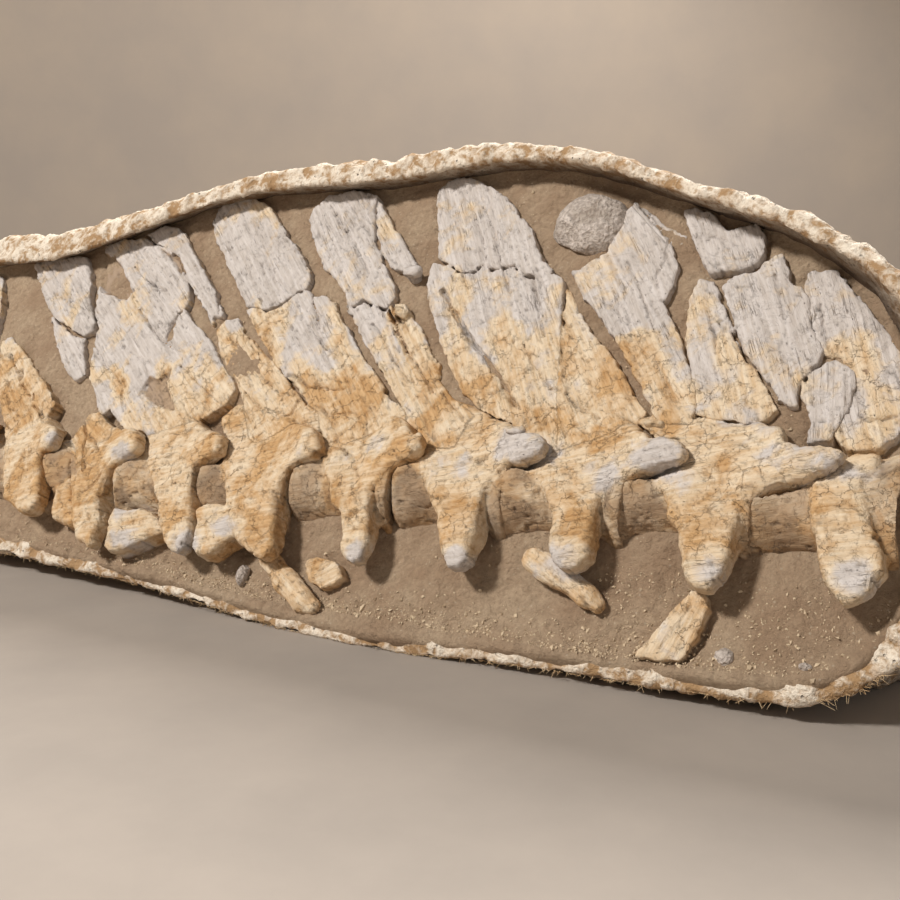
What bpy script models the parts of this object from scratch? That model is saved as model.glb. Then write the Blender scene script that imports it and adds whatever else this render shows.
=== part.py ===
# Run of mosasaur tail vertebrae in the sediment and plaster jacket that they were lifted in.
# The jacket stands on its own flat base, with the open face leaning back.
# Face coordinates, in millimetres: u along the jacket toward the head end, v up the face
# from the line of the column, w out of the face toward the viewer. w = 0 is the sediment.

import math

import bpy
import bmesh
from mathutils import Vector

LEAN = math.radians(30.0)       # lean of the open face back from the vertical
MIDDLE_U = 222.6                # face u over the object's middle
SHIFT_Y = -64.3                 # brings the middle of the depth over the origin
HEIGHT_ZERO = 115.0             # height of the column line above the floor
GAP = 0.3                       # clearance between neighbouring pieces
RIM_POINTS = 54                 # corners round the rim
CAVITY_FLOOR = 11.0             # plaster left under the sediment
BACK_Y = 145.7                  # the jacket's back, behind the origin
SHELL = 20.0                    # plaster thickness at the back
BLOCK_DEPTH = 260.0             # depth of the sediment block before it is cut to the cavity

# Rim of the jacket: outer edge u and v, height w of the edge, width of the plaster,
# and how far the inner wall runs under the edge for each millimetre of depth.
RIM = [
    (-318, 50, 20, 25, 0.3), (-298, 128, 23, 27, 0.3), (-235, 186, 26, 30, 0.4),
    (-167, 209, 26, 34, 0.5), (-102, 209, 26, 33, 0.6), (-45, 214, 27, 32, 0.8),
    (30, 229, 29, 27, 0.8), (103, 244, 30, 21, 0.7), (160, 257, 30, 21, 0.5),
    (235, 264, 30, 24, 0.4), (319, 264, 30, 24, 0.4), (400, 269, 31, 21, 0.3),
    (449, 261, 33, 16, 0.3), (502, 247, 36, 14, 0.3), (586, 213, 38, 14, 0.3),
    (657, 185, 38, 13, 0.2), (722, 140, 38, 12, 0.0), (765, 84, 30, 16, 0.0),
    (779, 20, 20, 20, 0.0), (768, -52, 8, 18, 0.0), (738, -96, 2, 15, 0.0),
    (698, -117, 2, 14, 0.0), (611, -124, 2, 13, 0.0), (511, -127, 2, 13, 0.0),
    (430, -133, 2, 13, 0.0), (349, -133, 2, 13, 0.0), (268, -127, 2, 13, 0.0),
    (180, -120, 2, 13, 0.0), (80, -116, 2, 14, 0.0), (-40, -113, 4, 15, 0.0),
    (-150, -112, 7, 17, 0.0), (-252, -98, 11, 19, 0.0), (-308, -34, 15, 22, 0.2),
]

# The vertebrae, tail to head. tip: end of the forward prong. rim: how far behind the tip the
# front edge of the centrum is. root, foot: the side process. spine: corners of the plates of
# the neural spine, with their height over the sediment. lump: further processes and blocks
# as (u, v, w, half width, half thickness) at each end.
BONES = {
    "vertebra_01": dict(tip=(-137, -6), rim=30, root=58, foot=(-158, -70), spine=[
        ((-268, 122), (-232, 142), (-206, 98), (-190, 20), (-250, 30)),
    ]),
    "vertebra_02": dict(tip=(-46, -15), rim=34, root=58, foot=(-58, -80), spine=[
        ((-212, 160), (-166, 174), (-138, 120), (-100, 20), (-158, 30), (-190, 92)),
    ]),
    "vertebra_03": dict(tip=(49, -14), rim=34, root=56, foot=(53, -80), spine=[
        ((-118, 96), (-88, 88), (-40, 57), (0, 32), (-30, -5), (-80, 30)),
    ]),
    "vertebra_04": dict(tip=(151, -13), rim=34, root=56, foot=(137, -101), spine=[
        ((48, 12), (60, 24), (84, 12), (100, -10), (70, -25), (38, -8)),
    ], lump=[((84, -38, 4, 20, 12), (88, -72, 5, 18, 10))]),
    "vertebra_05": dict(tip=(244, -7), rim=32, root=54, foot=(236, -95), spine=[
        ((-24, 195), (28, 210), (100, 165), (116, 148), (162, 101), (212, 54), (205, 20),
         (120, 5), (84, 16), (32, 70), (18, 100), (-4, 150)),
    ], lump=[((160, -48, 6, 24, 12), (164, -88, 12, 19, 11))]),
    "vertebra_06": dict(tip=(337, -1), rim=32, root=54, foot=(323, -89), spine=[
        ((36, 214), (66, 219), (105, 192), (160, 142), (200, 107), (240, 81), (292, 44),
         (300, 15), (250, 10), (220, 50), (169, 102), (122, 152), (104, 168)),
    ], lump=[((250, -42, 6, 18, 12), (258, -86, 24, 12, 10))]),
    "vertebra_07": dict(tip=(426, 7), rim=28, root=61, foot=(398, -81), spine=[
        ((115, 238), (150, 244), (180, 232), (236, 181), (252, 151), (282, 138), (342, 76),
         (384, 40), (372, 8), (320, 10), (305, 42), (190, 135), (113, 206)),
    ]),
    "vertebra_08": dict(tip=(522, 13), rim=32, root=65, foot=(476, -77), spine=[
        ((227, 218), (236, 242), (292, 240), (340, 190), (362, 166), (350, 134), (408, 78),
         (444, 44), (440, 15), (400, 18), (389, 46), (300, 122), (258, 166)),
    ]),
    "vertebra_09": dict(tip=(615, 16), rim=40, root=75, foot=(555, -69), spine=[
        ((355, 240), (372, 246), (402, 238), (440, 210), (483, 157), (492, 120), (498, 88),
         (525, 45), (520, 15), (470, 12), (450, 46), (411, 80), (372, 150), (368, 186)),
        ((490, 150), (512, 119), (544, 92), (572, 48), (560, 20), (520, 20), (502, 60)),
    ]),
    "vertebra_10": dict(tip=(708, 21), rim=52, root=80, foot=(641, -69), spine=[
        ((502, 172), (524, 220), (545, 200), (562, 178), (571, 160), (567, 136), (584, 106),
         (606, 48), (606, 25), (588, 26), (576, 52), (546, 101), (511, 141), (494, 162)),
    ]),
    "vertebra_11": dict(tip=None, at=(792, 24), rim=54, root=80, foot=(722, -64), spine=[
        ((568, 204), (589, 197), (604, 187), (622, 189), (645, 166), (654, 138), (668, 98),
         (685, 50), (692, 22), (641, 31), (610, 55), (592, 100), (588, 128), (592, 158)),
    ]),
}
SPINE_TOP = 12.0                # height of the spine plates over the sediment
PLATE_STEP = 3.0                # how much lower each further plate of a spine lies
CENTRUM_DROP = 20.0             # centrum's axis below the prong's tip, down the face
CENTRUM_DEPTH = -17.0           # centrum's axis, behind the sediment's surface
CENTRUM_SIDES = 14
# Distance along the centrum from its front edge, and its radius there
CENTRUM = [(-91, 37), (-86, 39), (-78, 37), (-62, 32), (-32, 31), (-14, 34), (-5, 39), (0, 38)]

FLAT_BONES = {
    "spine_plate": (((-121, 178), (-52, 185), (-15, 142), (10, 112), (8, 86), (22, 60), (2, 60),
                     (-62, 126)), 12.0),
    "spine_fragment": (((660, 150), (680, 155), (714, 113), (728, 62), (727, 42), (696, 46),
                        (685, 88), (670, 122)), 10.0),
    "bone_flat": (((601, -106), (610, -94), (620, -73), (628, -62), (635, -62), (637, -80),
                   (632, -98), (622, -107)), 8.0),
    "bone_block": (((338, -80), (353, -77), (367, -78), (373, -88), (361, -97), (344, -93)),
                   9.0),
}
RIBS = {
    "rib_piece_1": [(300, -82, 3, 8, 6), (322, -96, 3, 9, 7), (344, -108, 3, 8, 6),
                    (356, -112, 3, 4, 4)],
    "rib_piece_2": [(518, -56, 3, 9, 7), (540, -64, 3, 10, 8), (560, -75, 3, 8, 7),
                    (570, -80, 2, 4, 4)],
}
STONES = {
    "concretion": (496, 203, 2, 29, 26, 18),
    "pebble_1": (279, -97, 0, 5, 9, 6),
    "pebble_2": (652, -98, 0, 6, 6, 4),
    "pebble_3": (698, -96, 0, 4, 3, 4),
}

BONE = (0.62, 0.45, 0.28, 1.0)
SEDIMENT = (0.34, 0.24, 0.16, 1.0)
PLASTER = (0.68, 0.55, 0.38, 1.0)
GREY_STONE = (0.42, 0.38, 0.34, 1.0)

for item in list(bpy.data.objects):
    bpy.data.objects.remove(item, do_unlink=True)

parts = bpy.data.collections.new("mosasaur_vertebral_column")
cutters = bpy.data.collections.new("cutters")
bpy.context.scene.collection.children.link(parts)
bpy.context.scene.collection.children.link(cutters)


def face_point(u, v, w):
    y = v * math.sin(LEAN) - w * math.cos(LEAN) + SHIFT_Y
    z = v * math.cos(LEAN) + w * math.sin(LEAN) + HEIGHT_ZERO
    return Vector(((u - MIDDLE_U) / 1000.0, y / 1000.0, z / 1000.0))


def material(name, colour, roughness):
    made = bpy.data.materials.get(name) or bpy.data.materials.new(name)
    made.use_nodes = True
    shader = made.node_tree.nodes["Principled BSDF"]
    shader.inputs["Base Color"].default_value = colour
    shader.inputs["Roughness"].default_value = roughness
    shader.inputs["Metallic"].default_value = 0.0
    return made


def new_object(name, bm, collection):
    mesh = bpy.data.meshes.new(name)
    bmesh.ops.recalc_face_normals(bm, faces=bm.faces)
    bm.to_mesh(mesh)
    bm.free()
    made = bpy.data.objects.new(name, mesh)
    collection.objects.link(made)
    return made


def loft(name, rings, collection=cutters, fan=False):
    """Closed body through rings of equal count, capped at both ends."""
    bm = bmesh.new()
    loops = [[bm.verts.new(point) for point in ring] for ring in rings]
    count = len(loops[0])
    for first, second in zip(loops, loops[1:]):
        for i in range(count):
            j = (i + 1) % count
            bm.faces.new((first[i], first[j], second[j]))
            bm.faces.new((first[i], second[j], second[i]))
    for end in (loops[0], loops[-1]):
        if not fan:
            bm.faces.new(end)
            continue
        middle = bm.verts.new(sum((vert.co for vert in end), Vector()) / count)
        for i in range(count):
            bm.faces.new((end[i], end[(i + 1) % count], middle))
    return new_object(name, bm, collection)


def limb(name, stations, grow=0.0, sides=9):
    """Tapering bony process; each station is u, v, w, half width, half thickness."""
    points = [Vector(s[:3]) for s in stations]
    rings = []
    for i, station in enumerate(stations):
        along = points[min(i + 1, len(points) - 1)] - points[max(i - 1, 0)]
        along.normalize()
        across = along.cross(Vector((0, 0, 1))).normalized()
        out = across.cross(along).normalized()
        centre = points[i]
        if i == 0:
            centre = centre - along * grow
        if i == len(stations) - 1:
            centre = centre + along * grow
        ring = []
        for j in range(sides):
            angle = math.tau * (j + 0.5) / sides
            spot = centre + across * math.cos(angle) * (station[3] + grow)
            spot = spot + out * math.sin(angle) * (station[4] + grow)
            ring.append(face_point(*spot))
        rings.append(ring)
    return loft(name, rings)


def inset(corners, distance):
    """Outline moved inward (or outward, when negative) along its corner bisectors."""
    area = 0.0
    count = len(corners)
    for i in range(count):
        a, b = corners[i], corners[(i + 1) % count]
        area += a[0] * b[1] - b[0] * a[1]
    turn = 1.0 if area > 0 else -1.0
    moved = []
    for i in range(count):
        before = Vector(corners[i - 1])
        here = Vector(corners[i])
        after = Vector(corners[(i + 1) % count])
        one = (here - before).normalized()
        two = (after - here).normalized()
        normal_one = Vector((-one.y, one.x)) * turn
        normal_two = Vector((-two.y, two.x)) * turn
        middle = (normal_one + normal_two)
        middle.normalize()
        reach = distance / max(0.5, middle.dot(normal_one))
        moved.append(tuple(here + middle * reach))
    return moved


def plate(name, corners, top, grow=0.0, bottom=-14.0, bevel=3.0):
    """Flat bone with a softened edge, standing out of the sediment."""
    outer = inset(corners, -grow)
    rings = [
        [face_point(u, v, bottom) for u, v in outer],
        [face_point(u, v, top - bevel + grow) for u, v in outer],
        [face_point(u, v, top + grow) for u, v in (inset(corners, bevel - grow))],
    ]
    return loft(name, rings)


def join(name, pieces):
    """One closed body from overlapping pieces."""
    group = bpy.data.collections.new(name + "_pieces")
    bpy.context.scene.collection.children.link(group)
    first = pieces[0]
    for piece in pieces[1:]:
        cutters.objects.unlink(piece)
        group.objects.link(piece)
    first.name = name
    if len(pieces) > 1:
        cut = first.modifiers.new("union", "BOOLEAN")
        cut.operation = "UNION"
        cut.operand_type = "COLLECTION"
        cut.collection = group
        cut.solver = "MANIFOLD"
        apply_modifiers(first)
    for piece in pieces[1:]:
        bpy.data.objects.remove(piece, do_unlink=True)
    bpy.data.collections.remove(group)
    return first


def boolean(target, other, operation):
    before = target.data.copy()
    for solver in ("MANIFOLD", "EXACT"):
        cut = target.modifiers.new(operation.lower(), "BOOLEAN")
        cut.operation = operation
        cut.object = other
        cut.solver = solver
        apply_modifiers(target)
        if is_closed(target.data) or solver == "EXACT":
            break
        target.data = before.copy()


def is_closed(mesh):
    bm = bmesh.new()
    bm.from_mesh(mesh)
    closed = all(edge.is_manifold for edge in bm.edges)
    bm.free()
    return closed


def apply_modifiers(target):
    graph = bpy.context.evaluated_depsgraph_get()
    made = bpy.data.meshes.new_from_object(target.evaluated_get(graph))
    old = target.data
    target.modifiers.clear()
    target.data = made
    made.name = target.name
    bpy.data.meshes.remove(old)


def keep_largest(target):
    """Drops loose scraps that a cut leaves, and clears slivers."""
    for merge, method in ((0.00004, "BEAUTY"), (0.0, "BEAUTY"), (0.0, "EAR_CLIP")):
        bm = bmesh.new()
        bm.from_mesh(target.data)
        if merge:
            bmesh.ops.remove_doubles(bm, verts=bm.verts, dist=merge)
            bmesh.ops.dissolve_degenerate(bm, edges=bm.edges, dist=merge / 2.0)
        drop_scraps(bm)
        bmesh.ops.triangulate(bm, faces=bm.faces, ngon_method=method)
        if all(edge.is_manifold for edge in bm.edges):
            break
    bm.to_mesh(target.data)
    bm.free()
    return target


def drop_scraps(bm):
    left = set(bm.faces)
    groups = []
    while left:
        seed = left.pop()
        found = [seed]
        stack = [seed]
        while stack:
            face = stack.pop()
            for edge in face.edges:
                for other in edge.link_faces:
                    if other in left:
                        left.discard(other)
                        found.append(other)
                        stack.append(other)
        groups.append(found)
    groups.sort(key=lambda group: sum(face.calc_area() for face in group))
    for group in groups[:-1]:
        bmesh.ops.delete(bm, geom=group, context="FACES")
    loose = [vert for vert in bm.verts if not vert.link_faces]
    bmesh.ops.delete(bm, geom=loose, context="VERTS")


def finish(target, made):
    if target.name in cutters.objects:
        cutters.objects.unlink(target)
        parts.objects.link(target)
    target.data.materials.clear()
    target.data.materials.append(made)
    return target


# The jacket and the sediment

def rim_station(t):
    """Rim values at t of the way round, on a smooth curve through the named stations."""
    count = len(RIM)
    place = (t % 1.0) * count
    i = int(place)
    f = place - i
    rows = [RIM[(i + k - 1) % count] for k in range(4)]
    values = []
    for a, b, c, d in zip(*rows):
        value = 2 * b + (c - a) * f
        value += (2 * a - 5 * b + 4 * c - d) * f * f
        value += (3 * b - a - 3 * c + d) * f ** 3
        values.append(value / 2.0)
    return values


def medial(u, v):
    """Nearest point on the jacket's middle line."""
    return min(max(u, -150.0), 610.0), 62.0


def jacket_ring(depth, outset, floor, wall=0.0, cavity=False, clearance=0.0):
    """Ring of points round the jacket. Up to 1, depth is a share of the way to the back;
    beyond that it is in millimetres behind the rim's edge."""
    ring = []
    for i in range(RIM_POINTS):
        u, v, edge, width, under = rim_station(i / RIM_POINTS)
        mu, mv = medial(u, v)
        away = Vector((u - mu, v - mv))
        away.normalize()
        back = 50.0 if 0.0 < depth <= 1.0 else depth
        move = outset
        if cavity:
            move += under * min(back, edge + 6.0) - width - clearance
        else:
            move += 0.6 * under * min(back, 50.0)
        low = max(0.0, min(1.0, (20.0 - v) / 90.0))
        right = max(0.0, min(1.0, (u - 715.0) / 40.0))
        move -= min(max(back, 0.0), 62.0) * max(0.46 * low, 0.34 * right)
        new_u = u + away.x * move
        new_v = v + away.y * move
        if 0.0 < depth <= 1.0:
            whole = (BACK_Y - SHIFT_Y - new_v * math.sin(LEAN)) / math.cos(LEAN) + edge
            back = max(back, depth * (whole - wall) - clearance)
        spot = face_point(new_u, new_v, edge - back)
        spot.z = max(spot.z, (floor + clearance) / 1000.0)
        ring.append(spot)
    return ring


outer_rings = [(0.0, -3.0), (4.0, 0.0), (50.0, 5.0), (0.5, 2.0), (0.72, -12.0),
               (0.88, -36.0), (0.97, -72.0), (1.0, -118.0)]
cavity_rings = [(-12.0, 0.0), (0.0, 0.0), (30.0, 0.0), (50.0, 0.0), (0.5, -2.0),
                (0.72, -14.0), (0.88, -38.0), (0.97, -73.0), (1.0, -116.0)]


def jacket_body(name, rings, floor, wall=0.0, cavity=False, clearance=0.0):
    sections = [jacket_ring(depth, outset, floor, wall, cavity, clearance)
                for depth, outset in rings]
    return loft(name, sections, fan=True)


jacket = jacket_body("jacket_shell", outer_rings, 0.0)
cavity = jacket_body("cavity", cavity_rings, CAVITY_FLOOR, SHELL, True)
boolean(jacket, cavity, "DIFFERENCE")
finish(keep_largest(jacket), material("plaster", PLASTER, 0.9))


def ground(u, v):
    """Height of the sediment's surface."""
    height = -4.0 + 2.0 * math.sin(u / 41.0 + 0.7) * math.cos(v / 27.0)
    height += 1.3 * math.sin(u / 19.0 - v / 23.0)
    hollow = max(0.0, min(1.0, (v - 165.0) / 60.0))
    height -= 5.0 * hollow
    lower = max(0.0, min(1.0, (-70.0 - v) / 40.0))
    height += 3.0 * lower
    return height


def ground_block(name, lift):
    """Block under the sediment's surface, raised by lift."""
    step, columns, rows = 37.0, 32, 13
    first_u, first_v = -352.0, -158.0
    bm = bmesh.new()
    grid = []
    for i in range(columns):
        line = []
        for j in range(rows):
            u = first_u + i * step
            v = first_v + j * step
            line.append(bm.verts.new(face_point(u, v, ground(u, v) + lift)))
        grid.append(line)
    for i in range(columns - 1):
        for j in range(rows - 1):
            bm.faces.new((grid[i][j], grid[i + 1][j], grid[i + 1][j + 1], grid[i][j + 1]))
    border = [edge for edge in bm.edges if edge.is_boundary]
    wall = bmesh.ops.extrude_edge_only(bm, edges=border)["geom"]
    low = [item for item in wall if isinstance(item, bmesh.types.BMVert)]
    back = face_point(0, 0, -BLOCK_DEPTH) - face_point(0, 0, 0)
    for vert in low:
        vert.co += back
    rim_edges = [edge for edge in bm.edges if edge.is_boundary]
    bmesh.ops.triangle_fill(bm, edges=rim_edges, use_beauty=True)
    bmesh.ops.triangulate(bm, faces=bm.faces)
    return new_object(name, bm, cutters)


matrix = ground_block("matrix", 0.0)
inner = jacket_body("cavity_clear", cavity_rings, CAVITY_FLOOR, SHELL, True, GAP)
boolean(matrix, inner, "INTERSECT")
finish(keep_largest(matrix), material("sediment", SEDIMENT, 0.95))
above = ground_block("ground_raised", GAP)


# The vertebrae

def vertebra(name, size, grow=0.0):
    """Centrum, arch, processes and spine as one bone."""
    p, q = size["tip"] or size["at"]
    front = p - size["rim"]
    pieces = []
    rings = []
    for i, (along, radius) in enumerate(CENTRUM):
        ends = {0: -grow, len(CENTRUM) - 1: grow}.get(i, 0.0)
        reach = radius + grow
        ring = []
        for j in range(CENTRUM_SIDES):
            angle = math.tau * (j + 0.5) / CENTRUM_SIDES
            ring.append(face_point(front + along + ends,
                                   q - CENTRUM_DROP + reach * math.cos(angle),
                                   CENTRUM_DEPTH + reach * math.sin(angle)))
        rings.append(ring)
    pieces.append(loft(name, rings))
    arch = [(p - 60, q - 30, 2, 22, 13), (p - 70, q - 6, 5, 30, 14),
            (p - 80, q + 20, 4, 33, 13), (p - 94, q + 42, 1, 30, 11)]
    pieces.append(limb(name + "_arch", arch, grow, 10))
    if size["tip"]:
        prong = [(p - 56, q - 10, 14, 22, 10), (p - 28, q - 2, 24, 14, 9),
                 (p - 9, q + 1, 30, 10, 8), (p, q + 1, 32, 5, 5)]
        pieces.append(limb(name + "_prong", prong, grow))
    foot = Vector((*size["foot"], 30.0))
    root = Vector((p - size["root"], q - 22.0, 12.0))
    steps = ((-0.12, 21, 13), (0.35, 17, 13), (0.8, 13, 12), (0.94, 10, 10), (1.0, 5, 6))
    side = [(*(root + (foot - root) * t), a, b) for t, a, b in steps]
    pieces.append(limb(name + "_process", side, grow))
    for i, corners in enumerate(size["spine"]):
        top = SPINE_TOP - PLATE_STEP * i
        pieces.append(plate(name + "_spine", corners, top, grow))
    for ends in size.get("lump", []):
        a, b = ends
        last = tuple(b[k] + (b[k] - a[k]) * 0.06 for k in range(3)) + (b[3] * 0.6, b[4] * 0.6)
        pieces.append(limb(name + "_lump", [a, b, last], grow))
    return join(name, pieces)


bone = material("fossil_bone", BONE, 0.8)
previous = None
for name, size in BONES.items():
    made = vertebra(name, size)
    if previous:
        cutter = vertebra(name + "_neighbour", BONES[previous], GAP)
        boolean(made, cutter, "DIFFERENCE")
        bpy.data.objects.remove(cutter, do_unlink=True)
    boolean(made, above, "DIFFERENCE")
    finish(keep_largest(made), bone)
    previous = name


# Loose bones and stones

def clear_of(made, others):
    """Cuts a loose piece to sit on the sediment and against the bones it touches."""
    for other in others:
        cutter = vertebra(other + "_under", BONES[other], GAP)
        boolean(made, cutter, "DIFFERENCE")
        bpy.data.objects.remove(cutter, do_unlink=True)
    boolean(made, above, "DIFFERENCE")
    return keep_largest(made)


touching = {
    "spine_plate": ["vertebra_03"],
    "spine_fragment": ["vertebra_11"], "bone_flat": ["vertebra_10"],
    "bone_block": ["vertebra_07"], "rib_piece_1": ["vertebra_06"],
    "rib_piece_2": ["vertebra_09"], "concretion": ["vertebra_09", "vertebra_10"],
}
for name, (corners, top) in FLAT_BONES.items():
    made = plate(name, corners, top, bevel=2.5)
    finish(clear_of(made, touching[name]), bone)
for name, stations in RIBS.items():
    made = limb(name, stations)
    finish(clear_of(made, touching[name]), bone)

stone = material("grey_stone", GREY_STONE, 0.85)
for name, (u, v, w, half_u, half_v, half_w) in STONES.items():
    rings = []
    bands = 7 if half_u > 10 else 5
    for i in range(1, bands):
        tall = math.pi * i / bands
        ring = []
        for j in range(2 * bands + 2):
            angle = math.tau * j / (2 * bands + 2)
            reach = math.sin(tall) * (1.0 + 0.05 * math.sin(3 * angle + 1.0))
            ring.append(face_point(u + half_u * reach * math.cos(angle),
                                   v + half_v * reach * math.sin(angle),
                                   w + half_w * math.cos(tall)))
        rings.append(ring)
    made = loft(name, rings)
    finish(clear_of(made, touching.get(name, [])), stone)

for item in list(cutters.objects):
    item.hide_render = True
    item.display_type = "WIRE"
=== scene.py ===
# Mosasaur tail vertebrae in sediment, inside the plaster jacket that they were lifted in.
# Face coordinates in millimetres, as in the CAD: u along the jacket toward the head end,
# v up the leaning face from the column line, w out of the face toward the viewer.

import math

import bpy
import numpy as np
import openvdb
from mathutils import Matrix, Vector


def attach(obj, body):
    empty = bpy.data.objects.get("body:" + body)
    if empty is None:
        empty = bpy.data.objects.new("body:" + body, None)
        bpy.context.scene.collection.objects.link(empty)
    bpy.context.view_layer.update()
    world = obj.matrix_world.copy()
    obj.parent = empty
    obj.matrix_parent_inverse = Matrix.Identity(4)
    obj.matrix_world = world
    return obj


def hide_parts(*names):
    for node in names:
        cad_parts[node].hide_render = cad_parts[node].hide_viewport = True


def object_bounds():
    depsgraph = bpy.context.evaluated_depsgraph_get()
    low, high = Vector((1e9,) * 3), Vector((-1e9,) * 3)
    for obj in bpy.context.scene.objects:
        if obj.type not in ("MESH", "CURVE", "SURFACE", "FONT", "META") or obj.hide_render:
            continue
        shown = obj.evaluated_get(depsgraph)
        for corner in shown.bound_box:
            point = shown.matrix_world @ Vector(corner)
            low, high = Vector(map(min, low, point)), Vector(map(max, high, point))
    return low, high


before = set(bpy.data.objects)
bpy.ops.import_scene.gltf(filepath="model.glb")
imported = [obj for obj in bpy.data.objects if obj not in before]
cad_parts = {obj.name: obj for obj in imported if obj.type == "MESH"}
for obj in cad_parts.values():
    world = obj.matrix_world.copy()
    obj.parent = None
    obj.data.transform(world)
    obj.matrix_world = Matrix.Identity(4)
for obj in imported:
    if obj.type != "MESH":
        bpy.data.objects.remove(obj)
cadBounds = [list(corner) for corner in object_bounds()]
print("frame loaded:", len(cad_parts), "nodes")

face = {
    "lean": math.radians(30.0),  # the open face leans back from the vertical
    "middleU": 222.6,
    "shiftY": -64.3,
    "heightZero": 115.0,
    "backY": 145.7,  # back of the jacket behind the origin
}


def facePoints(u, v, w):
    # World metres of points given in face millimetres.
    lean = face["lean"]
    u, v, w = np.broadcast_arrays(u, v, w)
    x = u - face["middleU"]
    y = v * math.sin(lean) - w * math.cos(lean) + face["shiftY"]
    z = v * math.cos(lean) + w * math.sin(lean) + face["heightZero"]
    return np.stack([x, y, z], axis=-1) / 1000.0


def facePoint(u, v, w):
    return Vector(facePoints(np.float64(u), np.float64(v), np.float64(w)))


# Camera and studio

studio = {
    "lens": 44.0,
    "yaw": math.radians(32.0),
    "pitch": math.radians(7.0),
    "cameraFromColumn": (0.845076, -0.657958, 0.112374),  # metres from the column's zero point
    "floorColour": "#A2978C",
    "floorShade": "#998F85",
    "wallColour": "#948779",
    "wallShade": "#8C8176",
    "keyPower": 425.0,
    "topPower": 125.0,
    "wallPower": 4.0,
    "fillPower": 16.0,
    "worldLevel": 0.21,
}


def addCamera():
    yaw, pitch = studio["yaw"], studio["pitch"]
    right = Vector((math.cos(yaw), math.sin(yaw), 0.0))
    forward = Vector((-math.sin(yaw) * math.cos(pitch), math.cos(yaw) * math.cos(pitch),
                      -math.sin(pitch)))
    up = right.cross(forward)
    data = bpy.data.cameras.new("camera")
    data.lens = studio["lens"]
    camera = bpy.data.objects.new("camera", data)
    bpy.context.scene.collection.objects.link(camera)
    turn = Matrix((right, up, -forward)).transposed().to_4x4()
    place = facePoint(0, 0, 0) + Vector(studio["cameraFromColumn"])
    camera.matrix_world = Matrix.Translation(place) @ turn
    bpy.context.scene.camera = camera
    return right, forward


viewRight, viewForward = addCamera()


# Helpers for materials

def hexColour(code):
    # sRGB hex to a linear colour.
    values = [int(code[i:i + 2], 16) / 255.0 for i in (1, 3, 5)]
    linear = [c / 12.92 if c <= 0.04045 else ((c + 0.055) / 1.055) ** 2.4 for c in values]
    return (*linear, 1.0)


def addNode(tree, kind, inputs=None, **settings):
    # One shader node with its settings; an input takes a value or another node's output.
    node = tree.nodes.new("ShaderNode" + kind)
    for name, value in settings.items():
        setattr(node, name, value)
    for name, value in (inputs or {}).items():
        if isinstance(value, bpy.types.NodeSocket):
            tree.links.new(value, node.inputs[name])
        else:
            node.inputs[name].default_value = value
    return node


def newMaterial(name, roughness, ior=1.5):
    made = bpy.data.materials.new(name)
    made.use_nodes = True
    shader = made.node_tree.nodes["Principled BSDF"]
    shader.inputs["Roughness"].default_value = roughness
    shader.inputs["IOR"].default_value = ior
    return made, made.node_tree, shader


mixFactor, mixA, mixB, mixOut = 0, 6, 7, 2  # sockets of a Mix node set to colours


def mixColour(tree, factor, first, second, way="MIX"):
    node = addNode(tree, "Mix", {mixFactor: factor, mixA: first, mixB: second},
                   data_type="RGBA", blend_type=way)
    return node.outputs[mixOut]


def ramp(tree, value, low, high, fromValue=0.0, toValue=1.0):
    node = addNode(tree, "MapRange", {"Value": value, "From Min": low, "From Max": high,
                                      "To Min": fromValue, "To Max": toValue})
    return node.outputs["Result"]


def math2(tree, way, first, second=0.5):
    return addNode(tree, "Math", {0: first, 1: second}, operation=way).outputs[0]


def noise(tree, place, scale, detail, roughness, distortion=0.0):
    # Noise with its own scale along each axis.
    sized = addNode(tree, "Mapping", {"Vector": place, "Scale": scale}).outputs[0]
    return addNode(tree, "TexNoise", {"Vector": sized, "Scale": 1.0, "Detail": detail,
                                      "Roughness": roughness,
                                      "Distortion": distortion}).outputs["Fac"]


def cellEdges(tree, place, scale, width):
    # One on the lines between irregular cells, zero inside them.
    cells = addNode(tree, "TexVoronoi", {"Vector": place, "Scale": scale},
                    feature="DISTANCE_TO_EDGE").outputs["Distance"]
    return ramp(tree, cells, 0.0, width, 1.0, 0.0)


# Helpers for shapes

rng = np.random.default_rng(41)
noiseTable = rng.random((256, 256), dtype=np.float32) * 2.0 - 1.0
noiseTable3 = rng.random((64, 64, 64), dtype=np.float32) * 2.0 - 1.0


def noise2(x, y, seed=0):
    # Smooth noise from -1 to 1 on a unit lattice.
    x = x + 17.3 * seed
    y = y + 9.7 * seed
    ix, iy = np.floor(x).astype(np.int64), np.floor(y).astype(np.int64)
    fx, fy = x - ix, y - iy
    fx, fy = fx * fx * (3 - 2 * fx), fy * fy * (3 - 2 * fy)
    at = lambda i, j: noiseTable[(ix + i) & 255, (iy + j) & 255]
    low = at(0, 0) * (1 - fx) + at(1, 0) * fx
    high = at(0, 1) * (1 - fx) + at(1, 1) * fx
    return low * (1 - fy) + high * fy


def noise3(points, cell, seed=0):
    # Smooth noise from -1 to 1 at points in millimetres, with lumps one cell wide.
    at = points / cell + 13.7 * seed
    base = np.floor(at).astype(np.int64)
    part = at - base
    part = part * part * (3 - 2 * part)
    total = np.zeros(len(points))
    for corner in range(8):
        offset = np.array([corner & 1, corner >> 1 & 1, corner >> 2 & 1])
        cell3 = (base + offset) & 63
        share = np.prod(np.where(offset, part, 1 - part), axis=1)
        total += share * noiseTable3[cell3[:, 0], cell3[:, 1], cell3[:, 2]]
    return total


def clamp01(value):
    return np.clip(value, 0.0, 1.0)


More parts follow.
